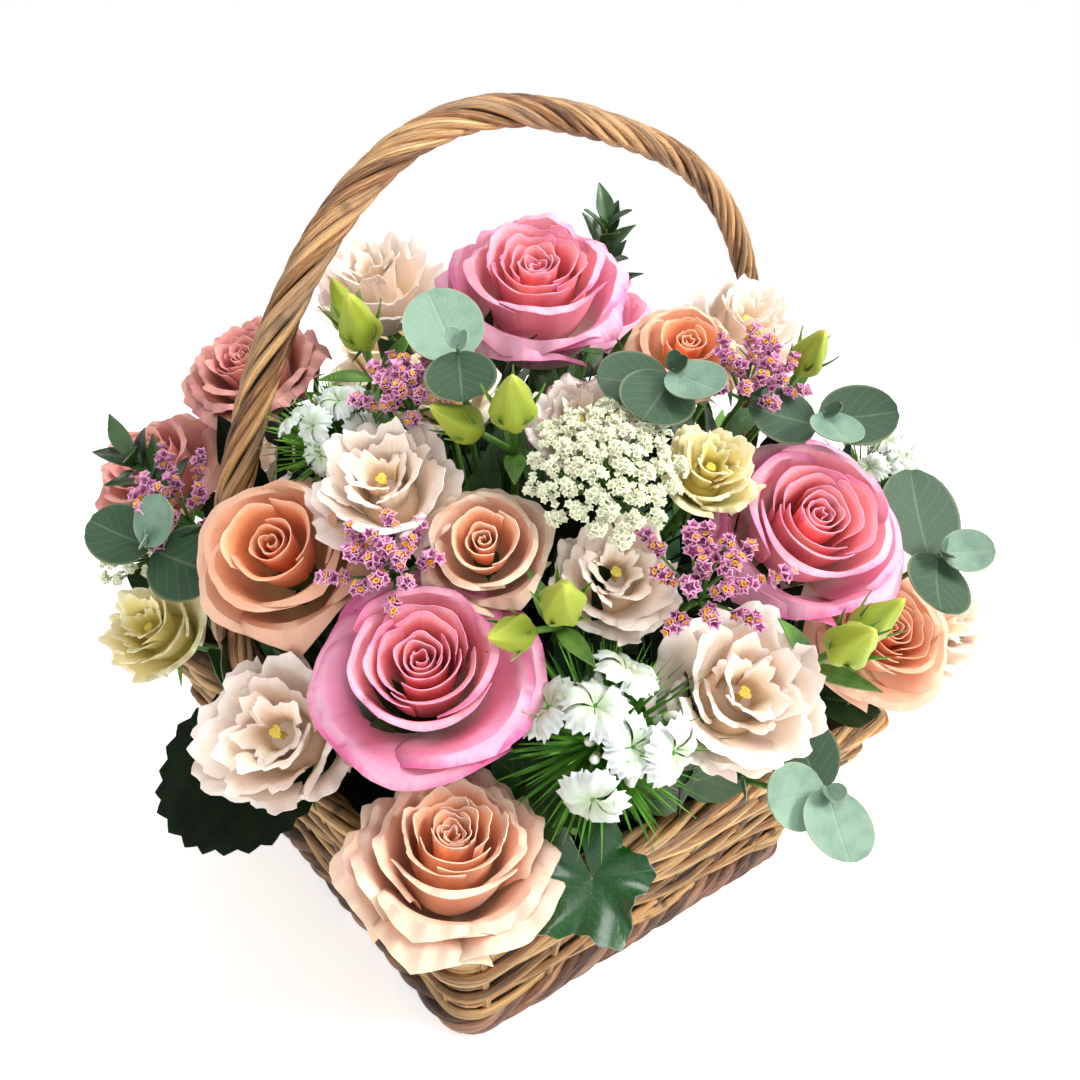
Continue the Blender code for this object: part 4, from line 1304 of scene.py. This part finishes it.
def round_leaf(form: Form, matrix: Matrix, half: float, length: float, dish: float,
               chance: float) -> None:
    """Add a round leaf.

    Args:
        form: The form that takes it.
        matrix: Where it goes; it runs from its foot along its own Y.
        half: Half its width.
        length: Its length.
        dish: How far its edge stands above its middle.
        chance: Mark of the whole leaf.
    """
    def surface(u: Array, v: Array) -> tuple[Array, Array, Array]:
        """Shape the leaf.

        Args:
            u: Across it, from 0 to 1.
            v: Along it, from 0 to 1.

        Returns:
            The x, y and z of its points.
        """
        side = 2 * u - 1
        width = half * np.sqrt(np.maximum(1 - (2 * (0.01 + 0.98 * v) - 1) ** 2, 0.0))
        lift = dish * ((side * width / half) ** 2 + (2 * v - 1) ** 2)
        return side * width, length * v, lift - 0.03 * half * (1 - np.abs(side)) ** 3

    form.sheet(surface, (10, 14), 0.5 * MM, chance=chance, matrix=matrix)


@dataclass
class Eucalyptus(Plant):
    """The end of a eucalyptus twig: round leaves, each with its turn, length and tone."""

    neck: float = -1.5
    stem_radius: float = 1.4 * MM
    leaves: tuple[tuple[float, float, float], ...] = ((20, 1.25, 0.9), (200, 1.2, 0.2),
                                                      (110, 1.0, 0.6))

    def head(self) -> None:
        """Add the head."""
        form, seed, size = self.form, self.seed, self.radius
        form.twig([(0, 0, z * size) for z in (-1.6, -0.9, -0.3, 0.05)], (1.2, 1.1, 0.9, 0.7),
                  sides=7, chance=0.7)
        for k, (turn, length, tone) in enumerate(self.leaves):
            angle = math.radians(turn)
            base = (0, 0, (-0.35 + 0.16 * k) * size)
            along = (math.cos(angle), math.sin(angle), 0.10 + 0.18 * k)
            round_leaf(form, leaf_frame(base, along), 0.47 * length * size, length * size,
                       0.05 * size, tone)
        for k in range(2):
            angle = seed.uniform(0, 6) + math.pi * k
            along = (math.cos(angle), math.sin(angle), 1.3)
            round_leaf(form, leaf_frame((0, 0, 0), along), 0.14 * size, 0.34 * size,
                       0.03 * size, seed.random())


@dataclass
class Pistacia(Plant):
    """A leafy twig of small pointed dark leaves."""

    neck: float = -1.7
    stem_radius: float = 1.4 * MM
    leaves: int = 15

    def head(self) -> None:
        """Add the head."""
        form, seed, size = self.form, self.seed, self.radius
        form.twig([(0, 0, z * size) for z in (-1.8, -1.0, -0.2, 0.55)], (1.2, 1.0, 0.8, 0.5),
                  sides=7, chance=0.7)
        for k in range(self.leaves):
            angle = k * GOLDEN_ANGLE
            height = (-1.2 + 1.7 * k / (self.leaves - 1)) * size
            length = size * seed.uniform(0.92, 1.15) * (1.0 - 0.25 * k / self.leaves)
            along = (math.cos(angle), math.sin(angle), 0.9 + 0.9 * k / self.leaves)
            leaf(form, leaf_frame((0, 0, height), along), length, 0.40 * size, seed.random(),
                 FLOWER, fold=0.25, roundness=0.85, cells=(4, 7), wave=0.03)


@dataclass
class Buds(Plant):
    """The end of a lisianthus stem: furled buds in green sepals, and two leaves."""

    neck: float = -2.6
    stem_radius: float = 1.6 * MM

    def head(self) -> None:
        """Add the head."""
        form, seed, size = self.form, self.seed, self.radius
        fork = Vector((0, 0, self.neck * size))
        form.twig((fork, fork * 0.5, (0, 0, 0)), (1.5, 1.4, 1.5), sides=7, chance=0.6)
        for k in range(2):
            angle = 2.4 * k + seed.uniform(-0.3, 0.3)
            reach = size * (1.0 - 0.16 * k)
            base, out = Vector((0, 0, 0)), Vector((0, 0, 1))
            if k:
                base = Vector((1.3 * size * math.cos(angle), 1.3 * size * math.sin(angle),
                               -0.75 * size))
                start = fork + Vector((0, 0, 0.4 * size))
                out = (base - start).normalized()
                form.twig((start, start.lerp(base, 0.5), base), (1.3, 1.2, 1.3), sides=7,
                          chance=0.6)
            bud = turned(((0.22, -0.66), (0.44, -0.46), (0.58, -0.16), (0.60, 0.14),
                          (0.50, 0.46), (0.38, 0.74), (0.29, 0.98), (0.20, 1.20),
                          (0.12, 1.36), (0.02, 1.46)), 25, reach, seed.random(), FLOWER,
                         lobes=5, depth=0.11, twist=5.6)
            matrix = pointing(out, base)
            form.join(bud, matrix)
            ruff = Form()
            for n in range(5):
                way = leaning(math.tau * n / 5 + angle, 0.95)
                leaf(ruff, leaf_frame((0, 0, -0.62 * reach), way), 1.5 * reach, 0.20 * reach,
                     n / 5, GREEN, fold=0.3, droop=-0.42, roundness=0.6, cells=(2, 7))
            form.join(ruff, matrix)
        for k in range(2):
            angle = math.pi * k + 0.9
            base = fork + Vector((0, 0, 0.3 * k * size))
            along = (math.cos(angle), math.sin(angle), 1.1)
            leaf(form, leaf_frame(base, along), 2.2 * size, 0.60 * size, 0.5, GREEN)


@dataclass
class Galax(Plant):
    """A broad leaf that hangs from its stalk, with a toothed edge and veins like a hand."""

    neck: float = 0.0
    stem_radius: float = 1.3 * MM
    teeth: int = 26
    lobes: int = 0
    waves: float = 0.03
    hang: float = 18.0

    def head(self) -> None:
        """Add the leaf."""
        form, seed, size = self.form, self.seed, self.radius
        chance = seed.random()

        def surface(u: Array, v: Array) -> tuple[Array, Array, Array]:
            """Shape the leaf.

            Args:
                u: Across it, from 0 to 1.
                v: Along it, from 0 to 1.

            Returns:
                The x, y and z of its points.
            """
            angle = math.pi / 2 + 0.10 + (math.tau - 0.20) * u
            tooth = 1 - 0.06 * (1 - np.abs((2 * self.teeth * u) % 2 - 1)) * v ** 4
            reach = size * (0.02 + 0.98 * v) * tooth * (0.80 + 0.20 * np.sin(angle / 2) ** 2)
            if self.lobes:
                reach = reach * (1 + 0.16 * v * np.cos(self.lobes * (angle + math.pi / 2)))
            ripple = self.waves * size * v ** 3 * np.sin(7 * angle + 2 * v)
            dish = -0.10 * size * (1 - v) + ripple
            return reach * np.cos(angle), -0.70 * size + reach * np.sin(angle), dish

        local = Form()
        local.sheet(surface, (4 * self.teeth, 7), 0.5 * MM, chance=chance)
        marks = local.marks[0]
        hand = np.abs(((marks[:, 1] * 7) % 1) - 0.5) * 2
        marks[:, 1] = 0.5 + 0.5 * (1 - hand)
        form.join(local, Matrix.Rotation(math.radians(-self.hang), 4, "X"))


# ------------------------------------------------------------------------------ basket

@dataclass
class Plan:
    """The basket's rounded oblong plan, at any height and any step out from its face."""

    half_x: float = 150 * MM
    half_y: float = 139 * MM
    top: float = 85 * MM
    taper_x: float = 0.74
    taper_y: float = 0.80
    corner: float = 14 * MM
    stakes: int = 6
    between: int = 8
    period: int = 3
    arc: int = 5

    def side_points(self) -> int:
        """Return how many points there are on a side, without its corner."""
        return self.stakes * self.between

    def line(self, height: float, out: Union[float, Array]) -> Array:
        """Return the closed line round the basket.

        Args:
            height: Height of the line.
            out: How far outside the plain face it runs, in all or at each point.

        Returns:
            One row for each point.
        """
        share = min(1.05, height / self.top)
        half_x = self.half_x * (self.taper_x + (1 - self.taper_x) * share)
        half_y = self.half_y * (self.taper_y + (1 - self.taper_y) * share)
        count = self.side_points()
        spots, ways = [], []
        for side in range(4):
            turn = math.pi / 2 * side
            way = np.array([math.cos(turn), math.sin(turn)])
            along = np.array([-way[1], way[0]])
            reach = half_x if side % 2 == 0 else half_y
            run = (half_y if side % 2 == 0 else half_x) - self.corner
            for k in range(count):
                spots.append(way * reach + along * run * (2 * k / count - 1))
                ways.append(way)
            middle = way * (reach - self.corner) + along * run
            for k in range(self.arc):
                angle = turn + math.pi / 2 * k / self.arc
                lean = np.array([math.cos(angle), math.sin(angle)])
                spots.append(middle + self.corner * lean)
                ways.append(lean)
        flat = np.array(spots) + np.array(ways) * np.broadcast_to(out, (len(spots),))[:, None]
        return np.column_stack([flat, np.full(len(flat), height)])

    def swing(self, shift: float) -> Array:
        """Return a wave round the basket, one to every `period` stakes.

        Args:
            shift: How many stakes further on it starts.

        Returns:
            A value from -1 to 1 for each point of a line.
        """
        count = self.side_points()
        at = np.array([min(k, count) / self.between + side * self.stakes
                       for side in range(4) for k in range(count + self.arc)])
        return np.cos(math.tau * (at + shift) / self.period)


def laid_round(form: Form, line: Array, rods: int, turns: int, lay: tuple[float, float],
               radius: float, seed: random.Random, slot: int = 0) -> None:
    """Add rods that wind round each other along a closed level line.

    Args:
        form: The form that takes them.
        line: The line, evenly spaced.
        rods: How many rods there are.
        turns: How often they wind round on the whole line.
        lay: How far they wind out from the line, sideways and up.
        radius: Radius of a rod.
        seed: Where the chances come from.
        slot: The place of their material on the piece.
    """
    run = np.roll(line, -1, 0) - np.roll(line, 1, 0)
    out = np.column_stack([run[:, 1], -run[:, 0], np.zeros(len(run))])
    out /= np.linalg.norm(out, axis=1, keepdims=True)
    share = np.linspace(0, 1, len(line), endpoint=False)
    for k in range(rods):
        wander = 0.25 * np.sin(math.tau * (share * seed.randint(3, 9) + seed.random()))
        angle = math.tau * (turns * share + k / rods) + wander
        path = line + lay[0] * np.cos(angle)[:, None] * out
        path[:, 2] += lay[1] * np.sin(angle)
        swell = 1 + 0.07 * np.sin(math.tau * share * seed.randint(14, 30))
        form.tube(path, radius * seed.uniform(0.88, 1.04) * swell, ROD_SIDES, seed.random(),
                  slot=slot, closed=True)


@dataclass
class Walls:
    """The woven walls: pairs of rods that pass before and behind upright stakes in turn."""

    plan: Plan = field(default_factory=Plan)
    pairs: int = 11
    rod_radius: float = 1.62 * MM
    swing: float = 2.2 * MM
    rise: float = 1.6 * MM
    rod_points: int = 300
    stake_radius: float = 2.2 * MM
    inset: float = 3.0 * MM
    foot: float = 10.5 * MM
    foot_radius: float = 2.9 * MM
    foot_points: int = 360

    def build(self, palette: Palette) -> bpy.types.Object:
        """Make the walls.

        Args:
            palette: Where their materials come from.

        Returns:
            The piece.
        """
        form = Form()
        seed = random.Random("walls")
        self.rods(form, seed)
        foot = closed_evenly(self.plan.line(6.6 * MM, -1.6 * MM), self.foot_points)
        laid_round(form, foot, rods=5, turns=13, lay=(3.6 * MM, 3.2 * MM),
                   radius=self.foot_radius, seed=seed, slot=FOOT_WILLOW)
        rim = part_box("basket_border")
        top = (rim[0][2] + rim[1][2]) / 2
        low, high = (self.plan.line(height, -self.inset) for height in (4 * MM, top))
        step = self.plan.between
        for side in range(4):
            for k in range(0, self.plan.side_points() + 1, step):
                n = (side * (self.plan.side_points() + self.plan.arc) + k) % len(low)
                # share=0.35 darkens the stakes a third of the way to near black: painted shade, as
                # they stand behind the rods.
                form.tube(np.linspace(low[n], high[n], 6), self.stake_radius, ROD_SIDES,
                          chance=seed.random(), share=0.35)
        # A sheet of painted shade behind the rods.
        self.painted_shade_sheet(form, self.plan.line(1 * MM, -self.inset - 2.9 * MM),
                    self.plan.line(top, -self.inset - 2.0 * MM))
        return form.stand_in("basket_weave", palette.all((GOLDEN, RUDDY)), "basket_walls")

    def rods(self, form: Form, seed: random.Random) -> None:
        """Add the rods that go round.

        Args:
            form: The form that takes them.
            seed: Where the chances come from.
        """
        pitch = (self.plan.top - self.foot - self.rod_radius) / self.pairs
        for pair in range(self.pairs):
            wave = self.plan.swing(pair)
            lift = self.rise * self.plan.swing(0.8 + 0.12 * pair)
            for half in (0, 1):
                height = self.foot + pitch * (pair + 0.25 + 0.5 * half)
                out = self.swing * wave - self.inset + seed.uniform(-0.4, 0.3) * MM
                line = self.plan.line(height, out)
                count = len(line)
                wander = np.cumsum([seed.gauss(0, 1) for _ in range(count)])
                wander -= np.linspace(wander[0], wander[-1], count)
                line[:, 2] += np.clip(wander * 0.10 * MM, -0.7 * MM, 0.7 * MM) + lift
                line[:, 2] = np.maximum(line[:, 2], self.foot + 1.2 * MM)
                swell = 1 + 0.08 * np.sin(np.arange(count) * seed.uniform(0.1, 0.4))
                radii = self.rod_radius * seed.uniform(0.88, 1.08) * swell
                form.tube(closed_evenly(line, self.rod_points),
                          closed_values(radii, self.rod_points), ROD_SIDES, seed.random(),
                          closed=True)

    def painted_shade_sheet(self, form: Form, low: Array, high: Array) -> None:
        """Add a sheet of painted shade behind the rods, which shows near black between them.

        Args:
            form: The form that takes it.
            low: The line along its foot.
            high: The line along its top.
        """
        count = len(low)
        inner = np.array([0.985, 0.985, 1.0])
        points = np.concatenate([low, high, high * inner, low * inner])
        ring = np.arange(count)
        after = (ring + 1) % count
        blocks = [np.stack([a * count + ring, a * count + after, b * count + after,
                            b * count + ring], axis=-1)
                  for a, b in ((0, 1), (1, 2), (2, 3), (3, 0))]
        # The share of 0.9 paints this sheet near black, as the shade between the rods.
        marks = np.column_stack([np.tile(ring * 4 * MM, 4), np.zeros(4 * count),
                                 np.full(4 * count, 0.9), np.full(4 * count, 0.4)])
        form.add(points, blocks, marks)


@dataclass
class Border:
    """The border that closes the weave: rods laid over each other along the rim."""

    plan: Plan = field(default_factory=Plan)
    rods: int = 6
    turns: int = 9
    rod_radius: float = 2.35 * MM
    lay: tuple[float, float] = (4.3 * MM, 3.1 * MM)
    core_radius: float = 2.2 * MM
    points: int = 440

    def build(self, palette: Palette) -> bpy.types.Object:
        """Make the border.

        Args:
            palette: Where its material comes from.

        Returns:
            The piece.
        """
        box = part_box("basket_border")
        line = closed_evenly(self.plan.line(self.plan.top, -1.5 * MM), self.points)
        line[:, 2] = (box[0][2] + box[1][2]) / 2
        form = Form()
        laid_round(form, line, self.rods, self.turns, self.lay, self.rod_radius,
                   random.Random("border"))
        # The core's share of 0.8 paints it dark: painted shade inside the laid rods.
        form.tube(line, self.core_radius, CORE_SIDES, chance=0.2, share=0.8, closed=True)
        return form.stand_in("basket_rim", palette.all((GOLDEN,)), "basket_border")


def evenly(points: Array, count: int) -> Array:
    """Return so many points spaced alike along an open line.

    Args:
        points: Points of the line.
        count: How many are wanted.

    Returns:
        The new points.
    """
    reach = reaches(points)
    want = np.linspace(0, reach[-1], count)
    return np.column_stack([np.interp(want, reach, points[:, n]) for n in range(3)])


def closed_evenly(points: Array, count: int) -> Array:
    """Return so many points spaced alike along a closed line."""
    return evenly(np.vstack([points, points[:1]]), count + 1)[:-1]


def closed_values(values: Array, count: int) -> Array:
    """Return so many values spaced alike round a closed run of values."""
    want = np.arange(count) * len(values) / count
    return np.interp(want, np.arange(len(values) + 1), np.append(values, values[0]))


def smoothed(points: Array, rounds: int) -> Array:
    """Return an open line with its bends eased.

    Args:
        points: Points of the line.
        rounds: How often each point moves towards the middle of its neighbours.

    Returns:
        The eased points.
    """
    for _ in range(rounds):
        points[1:-1] = 0.25 * points[:-2] + 0.5 * points[1:-1] + 0.25 * points[2:]
    return points


@dataclass
class Handle:
    """The handle: willow rods twisted round a core like a rope, bent to a high arch."""

    rods: int = 8
    squareness: float = 2.76
    pitch: float = 92 * MM
    rod_radius: float = 1.98 * MM
    lay: float = 4.9 * MM
    steps: int = 270
    rim: float = 98 * MM
    rise: float = 268 * MM
    half_span: float = 172 * MM
    foot: tuple[float, float] = (117.6 * MM, 50 * MM)

    def centre(self) -> Array:
        """Lay out the line along the handle's middle.

        Returns:
            Its points, from the left foot to the right one.
        """
        power = 2 / self.squareness
        half = []
        for angle in np.linspace(0, math.pi / 2, 60):
            x = self.half_span * math.sin(angle) ** power
            z = self.rim + self.rise * max(0.0, math.cos(angle)) ** power
            if z > self.rim + 0.25 * self.rise:
                half.append((x, 0.0, z))
        half += [(0.98 * self.half_span, 0.0, self.rim + 0.19 * self.rise),
                 (0.90 * self.half_span, 0.0, self.rim + 0.09 * self.rise),
                 (0.78 * self.half_span, 0.0, self.rim), (self.foot[0], 0.0, self.foot[1])]
        right = np.array(half)
        left = right[:0:-1] * np.array([-1, 1, 1])
        return smoothed(evenly(np.vstack([left, right]), self.steps), 10)

    def build(self, palette: Palette) -> bpy.types.Object:
        """Make the handle.

        Args:
            palette: Where its material comes from.

        Returns:
            The piece.
        """
        middle = self.centre()
        run = np.gradient(middle, axis=0)
        run /= np.linalg.norm(run, axis=1, keepdims=True)
        side = np.array([0.0, 1.0, 0.0])
        up = np.cross(run, side)
        reach = reaches(middle)
        form = Form()
        seed = random.Random("handle")
        # The core's share of 0.95 paints it near black: painted shade inside the twist.
        form.tube(middle, self.lay - 1.4 * MM, CORE_SIDES, chance=0.1, share=0.95)
        for k in range(self.rods):
            angle = math.tau * (reach / self.pitch + k / self.rods)
            wander = 0.12 * np.sin(reach * seed.uniform(14, 26) + seed.uniform(0, 6))
            lay = self.lay * (1 + 0.04 * np.sin(reach * 31 + k))
            path = middle + (lay * np.cos(angle + wander))[:, None] * side
            path += (lay * np.sin(angle + wander))[:, None] * up
            thick = self.rod_radius * seed.uniform(0.84, 1.04)
            radii = thick * (1 + 0.06 * np.sin(reach * seed.uniform(30, 60) + k))
            form.tube(path, radii, ROD_SIDES, seed.random())
        return form.stand_in("basket_handle_twist", palette.all((WILLOW,)), "basket_handle")


# ------------------------------------------------------------------------------ greenery

@dataclass
class Greenery:
    """Leaves tucked between the stems and over the rim, which hide the foam."""

    name: str
    finish: Any
    slot: str
    count: int
    low: float
    high: float
    reach: tuple[float, float]
    size: tuple[float, float]
    width: float
    lean: tuple[float, float]
    square: float = 2.0
    middle: float = 0.10
    halves: tuple[float, float, float] = (0.150, 0.140, 0.170)
    twig_radius: float = 0.6 * MM

    def build(self, palette: Palette) -> bpy.types.Object:
        """Make the leaves.

        Args:
            palette: Where their material comes from.

        Returns:
            The piece.
        """
        seed = random.Random(self.name)
        centre = Vector((0.0, 0.0, self.middle))
        half_x, half_y, half_z = self.halves
        form = Form()
        for k in range(self.count):
            angle = k * GOLDEN_ANGLE + seed.uniform(-0.2, 0.2)
            height = self.low + (self.high - self.low) * ((k + 0.5) / self.count)
            lean = math.acos(max(-1.0, min(1.0, height)))
            out = leaning(angle, lean)
            stretch = seed.uniform(*self.reach)
            side = (abs(math.cos(angle)) ** self.square
                    + abs(math.sin(angle)) ** self.square) ** (-1 / self.square)
            spot = centre + Vector((out.x * side * half_x, out.y * side * half_y,
                                    out.z * half_z)) * stretch
            twist = leaning(seed.uniform(0, math.tau), seed.uniform(*self.lean))
            along = out + 0.9 * (twist - out * twist.dot(out))
            length = seed.uniform(*self.size)
            leaf(form, leaf_frame(spot, along, out + Vector((0.01, 0.02, 0.3))), length,
                 length * self.width * seed.uniform(0.85, 1.15), seed.random(), FLOWER,
                 fold=0.18, droop=seed.uniform(0.1, 0.4), wave=0.02)
            root = spot - out * 0.030
            form.tube((root, root.lerp(spot, 0.5), spot), self.twig_radius, sides=5, chance=0.3)
        return form.piece(self.name, palette.all((self.finish,)))


# ------------------------------------------------------------------------------ studio

def shown(name: str, data: bpy.types.ID) -> bpy.types.Object:
    """Put a mesh, light or camera into the scene.

    Args:
        name: The object's name.
        data: The mesh, light or camera.

    Returns:
        The object.
    """
    made = bpy.data.objects.new(name, data)
    bpy.context.scene.collection.objects.link(made)
    return made


@dataclass(frozen=True)
class Lamp:
    """A soft light that faces a point."""

    name: str
    place: tuple[float, float, float]
    size: float
    power: float
    colour: Colour = (1.0, 1.0, 1.0)

    def build(self, target: Vector) -> None:
        """Make the light.

        Args:
            target: The point that it faces.
        """
        lamp = bpy.data.lights.new(self.name, "AREA")
        lamp.size = self.size
        lamp.energy = self.power
        lamp.color = self.colour
        made = shown(self.name, lamp)
        made.location = self.place
        way = target - Vector(self.place)
        made.rotation_euler = way.to_track_quat("-Z", "Y").to_euler()


@dataclass
class Studio:
    """The pale floor, the lights and the camera."""

    azimuth: float = -0.768824
    elevation: float = 0.315975
    roll: float = 0.1437335
    place: tuple[float, float, float] = (-0.30307, -0.31126, 0.308708)
    lens: float = 29.1
    dim: float = 0.52
    bright: float = 1.0
    floor_half: float = 30.0

    def camera(self) -> None:
        """Make the camera."""
        a, e = self.azimuth, self.elevation
        back = Vector((math.sin(a) * math.cos(e), -math.cos(a) * math.cos(e), math.sin(e)))
        right = (-back).cross(Vector((0, 0, 1))).normalized()
        up = right.cross(-back)
        c, s = math.cos(self.roll), math.sin(self.roll)
        matrix = Matrix((c * right + s * up, c * up - s * right, back)).transposed().to_4x4()
        matrix.translation = Vector(self.place)
        data = bpy.data.cameras.new("camera")
        data.lens, data.sensor_width, data.clip_start = self.lens, 36.0, 0.01
        made = shown("camera", data)
        made.matrix_world = matrix
        bpy.context.scene.camera = made

    def floor(self) -> None:
        """Make the floor."""
        h = self.floor_half
        mesh = bpy.data.meshes.new("floor")
        mesh.from_pydata([(-h, -h, 0), (h, -h, 0), (h, h, 0), (-h, h, 0)], [], [(0, 1, 2, 3)])
        net = Net.named("floor_paper")
        mesh.materials.append(net.finish(Base_Color=(0.90, 0.90, 0.89), Roughness=0.85,
                                         Emission_Color=(1.0, 1.0, 1.0), Emission_Strength=0.62))
        shown("floor", mesh)

    def backdrop(self) -> None:
        """Make the surroundings: a bright wall behind the basket, dimmer all round."""
        net = Net(bpy.data.worlds.new("studio"))
        way = net.read("ShaderNodeTexCoord", output="Generated")
        ahead = net.along(way, (-math.sin(self.azimuth), math.cos(self.azimuth), 0.0))
        bright = self.dim + (self.bright - self.dim) * ahead.between(0.25, 0.75)
        light = net.read("ShaderNodeBackground", None, {"Color": net.lit((1.0, 1.0, 1.0), bright)})
        net.node("ShaderNodeOutputWorld", None, {0: light})
        bpy.context.scene.world = net.owner

    def build(self) -> None:
        """Make the studio."""
        bpy.context.scene.view_settings.view_transform = "Standard"
        self.backdrop()
        target = Vector((0.0, 0.0, 0.18))
        for lamp in (Lamp("key", (0.55, -1.1, 1.1), 0.5, 25.0, (1.0, 0.985, 0.96)),
                     Lamp("top", (0.0, -0.2, 1.6), 0.8, 15.0),
                     Lamp("fill", (-0.9, -0.9, 0.9), 1.0, 3.0, (0.97, 0.98, 1.0))):
            lamp.build(target)
        self.floor()
        self.camera()


# ------------------------------------------------------------------------------ the whole

def roses() -> list[Plant]:
    """List the roses.

    Returns:
        The plants, ready to build.
    """
    small = ((3, 0.5), (4, 0.74), (5, 1.0))
    full = ((3, 0.42), (4, 0.55), (4, 0.70), (5, 0.86), (6, 1.0))
    cupped = Opening.CUPPED

    def rose(node: str, radius: float, finish: PetalFinish, **shape: Any) -> Rose:
        """Return one rose."""
        return Rose(node, radius * MM, (finish, SEPAL), **shape)

    def bud_rose(node: str, radius: float, finish: PetalFinish) -> Rose:
        """Return one small rose that has only begun to open."""
        return rose(node, radius, finish, heart=7, rings=small, opening=cupped,
                    stem_radius=2.0 * MM, frill=0.016)

    return [
        rose("rose_pink_front", 37, PINK, lift=12.0),
        rose("rose_peach_front", 33, PEACH, rings=full, frill=0.034, lift=40.0),
        rose("rose_pink_top", 39, PINK, opening=cupped, frill=0.030),
        rose("rose_pink_right", 37, PINK, opening=cupped),
        rose("rose_pink_left", 33, DUSK, rings=full, frill=0.040),
        rose("rose_peach_left", 35, DUSK, frill=0.030),
        rose("rose_salmon", 30, SALMON, heart=7, rings=small, opening=cupped),
        rose("rose_peach_right", 32, SALMON), rose("rose_cream_back", 44, CREAM, rings=full),
        rose("rose_pink_back", 48, PINK, opening=cupped),
        rose("rose_peach_back", 47, PEACH, rings=full, frill=0.022),
        bud_rose("rose_peach_small", 22, PEACH), bud_rose("rose_peach_upper", 23, SALMON),
        bud_rose("rose_cream_mid", 21, CREAM),
    ]


def blooms() -> list[Plant]:
    """List the lisianthus, their buds and the sweet williams.

    Returns:
        The plants, ready to build.
    """
    blush = (("upper_left", 27), ("low_left", 31), ("middle", 24), ("low_right", 31),
             ("top_right", 33), ("top_left", 33), ("far_right", 31), ("back_right", 44),
             ("back", 44))
    made: list[Plant] = [Lisianthus(f"lisianthus_{place}", radius * MM, (BLUSH, SEPAL, POLLEN))
                         for place, radius in blush]
    made += [Lisianthus("lisianthus_yellow_mid", 20 * MM, (YELLOW, SEPAL, POLLEN)),
             Lisianthus("lisianthus_yellow_left", 24 * MM, (YELLOW, SEPAL, POLLEN)),
             Lisianthus("lisianthus_edged", 20 * MM, (EDGED, SEPAL, POLLEN))]
    made += [Dianthus(f"dianthus_{place}", radius * MM, (WHITE, SPIKE))
             for place, radius in (("front", 32), ("left", 22), ("right", 26), ("back", 40))]
    made += [Buds(f"buds_{place}", radius * MM, (BUD, SEPAL)) for place, radius in (
        ("top_left", 13), ("upper", 13), ("middle", 12), ("right", 13), ("top_right", 12))]
    return made


def sprays() -> list[Plant]:
    """List the statice, the lace flowers and the leaves.

    Returns:
        The plants, ready to build.
    """
    made: list[Plant] = [
        Limonium(f"limonium_{place}", radius * MM, (STATICE, STALK, STATICE_TIP))
        for place, radius in (("left", 21), ("middle", 21), ("front", 16), ("upper", 15),
                              ("right", 18))]
    made += [Umbel("umbel_middle", 31 * MM, (LACE, STALK)),
             Umbel("umbel_left", 21 * MM, (LACE, STALK), rays=20)]
    made += [Eucalyptus(f"eucalyptus_{place}", radius * MM, (GUM, STALK), leaves=leaves)
             for place, radius, leaves in (
                 ("top", 22, ((125, 1.40, 0.8), (288, 1.2, 0.2))),
                 ("middle", 22, ((190, 1.2, 0.1), (250, 1.3, 0.25), (320, 1.0, 0.6))),
                 ("upper_right", 23, ((150, 1.2, 0.2), (340, 1.25, 0.1), (260, 0.9, 0.6))),
                 ("right", 24, ((95, 1.6, 0.35), (250, 1.2, 0.2), (0, 0.8, 0.7))),
                 ("left", 23, ((20, 1.5, 0.2), (200, 1.15, 0.15), (100, 0.9, 0.6))),
                 ("low", 22, ((110, 1.15, 0.3), (195, 1.1, 0.8), (275, 1.15, 0.7))))]
    made += [Eucalyptus("eucalyptus_back", 34 * MM, (GUM, STALK))]
    made += [Pistacia(f"pistacia_{place}", 22 * MM, (DARK, STALK)) for place in ("top", "left")]
    made += [Galax("galax_left", 38 * MM, (GALAX, STALK), spin=73.0),
             Galax("galax_back", 40 * MM, (GALAX, STALK)),
             Galax("ivy_front", 22 * MM, (IVY, STALK), spin=-50.0, teeth=20, lobes=5,
                   waves=0.085)]
    return made


def greenery() -> list[Greenery]:
    """List the leaves that fill the spaces between the stems.

    Returns:
        The groups, ready to build.
    """
    return [
        Greenery("leaves_low", DARK, "galax", count=130, low=0.0, high=0.30, reach=(0.78, 0.98),
                 size=(0.036, 0.052), width=0.60, lean=(0.2, 1.2), square=5.0),
        Greenery("leaves_dark", DARK, "pistacia", count=270, low=0.10, high=0.99,
                 reach=(0.72, 1.0), size=(0.026, 0.040), width=0.42, lean=(0.2, 1.3)),
        Greenery("leaves_side", GALAX, "galax", count=150, low=0.07, high=0.62,
                 reach=(0.90, 1.10), size=(0.030, 0.044), width=0.55, lean=(0.3, 1.3)),
        Greenery("leaves_fresh", STALK, "pistacia", count=80, low=0.20, high=0.97,
                 reach=(0.80, 0.98), size=(0.024, 0.034), width=0.34, lean=(0.1, 1.0)),
    ]


def main() -> None:
    """Build and dress the whole basket."""
    logging.basicConfig(level=logging.INFO, format="%(message)s")
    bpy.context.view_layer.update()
    palette = Palette()
    for part in (*roses(), *blooms(), *sprays(), Walls(), Border(), Handle(), *greenery()):
        made = part.build(palette)
        LOG.info("%s: %d faces", made.name, len(made.data.polygons))
    for node, finish in (("basket_floor", FRAMEWOOD), ("water_tray", TRAY),
                         ("floral_foam", FOAM)):
        frame["nodes"][node].data.materials.clear()
        frame["nodes"][node].data.materials.append(palette.of(finish))
    Studio().build()


if __name__ == "__main__":
    main()
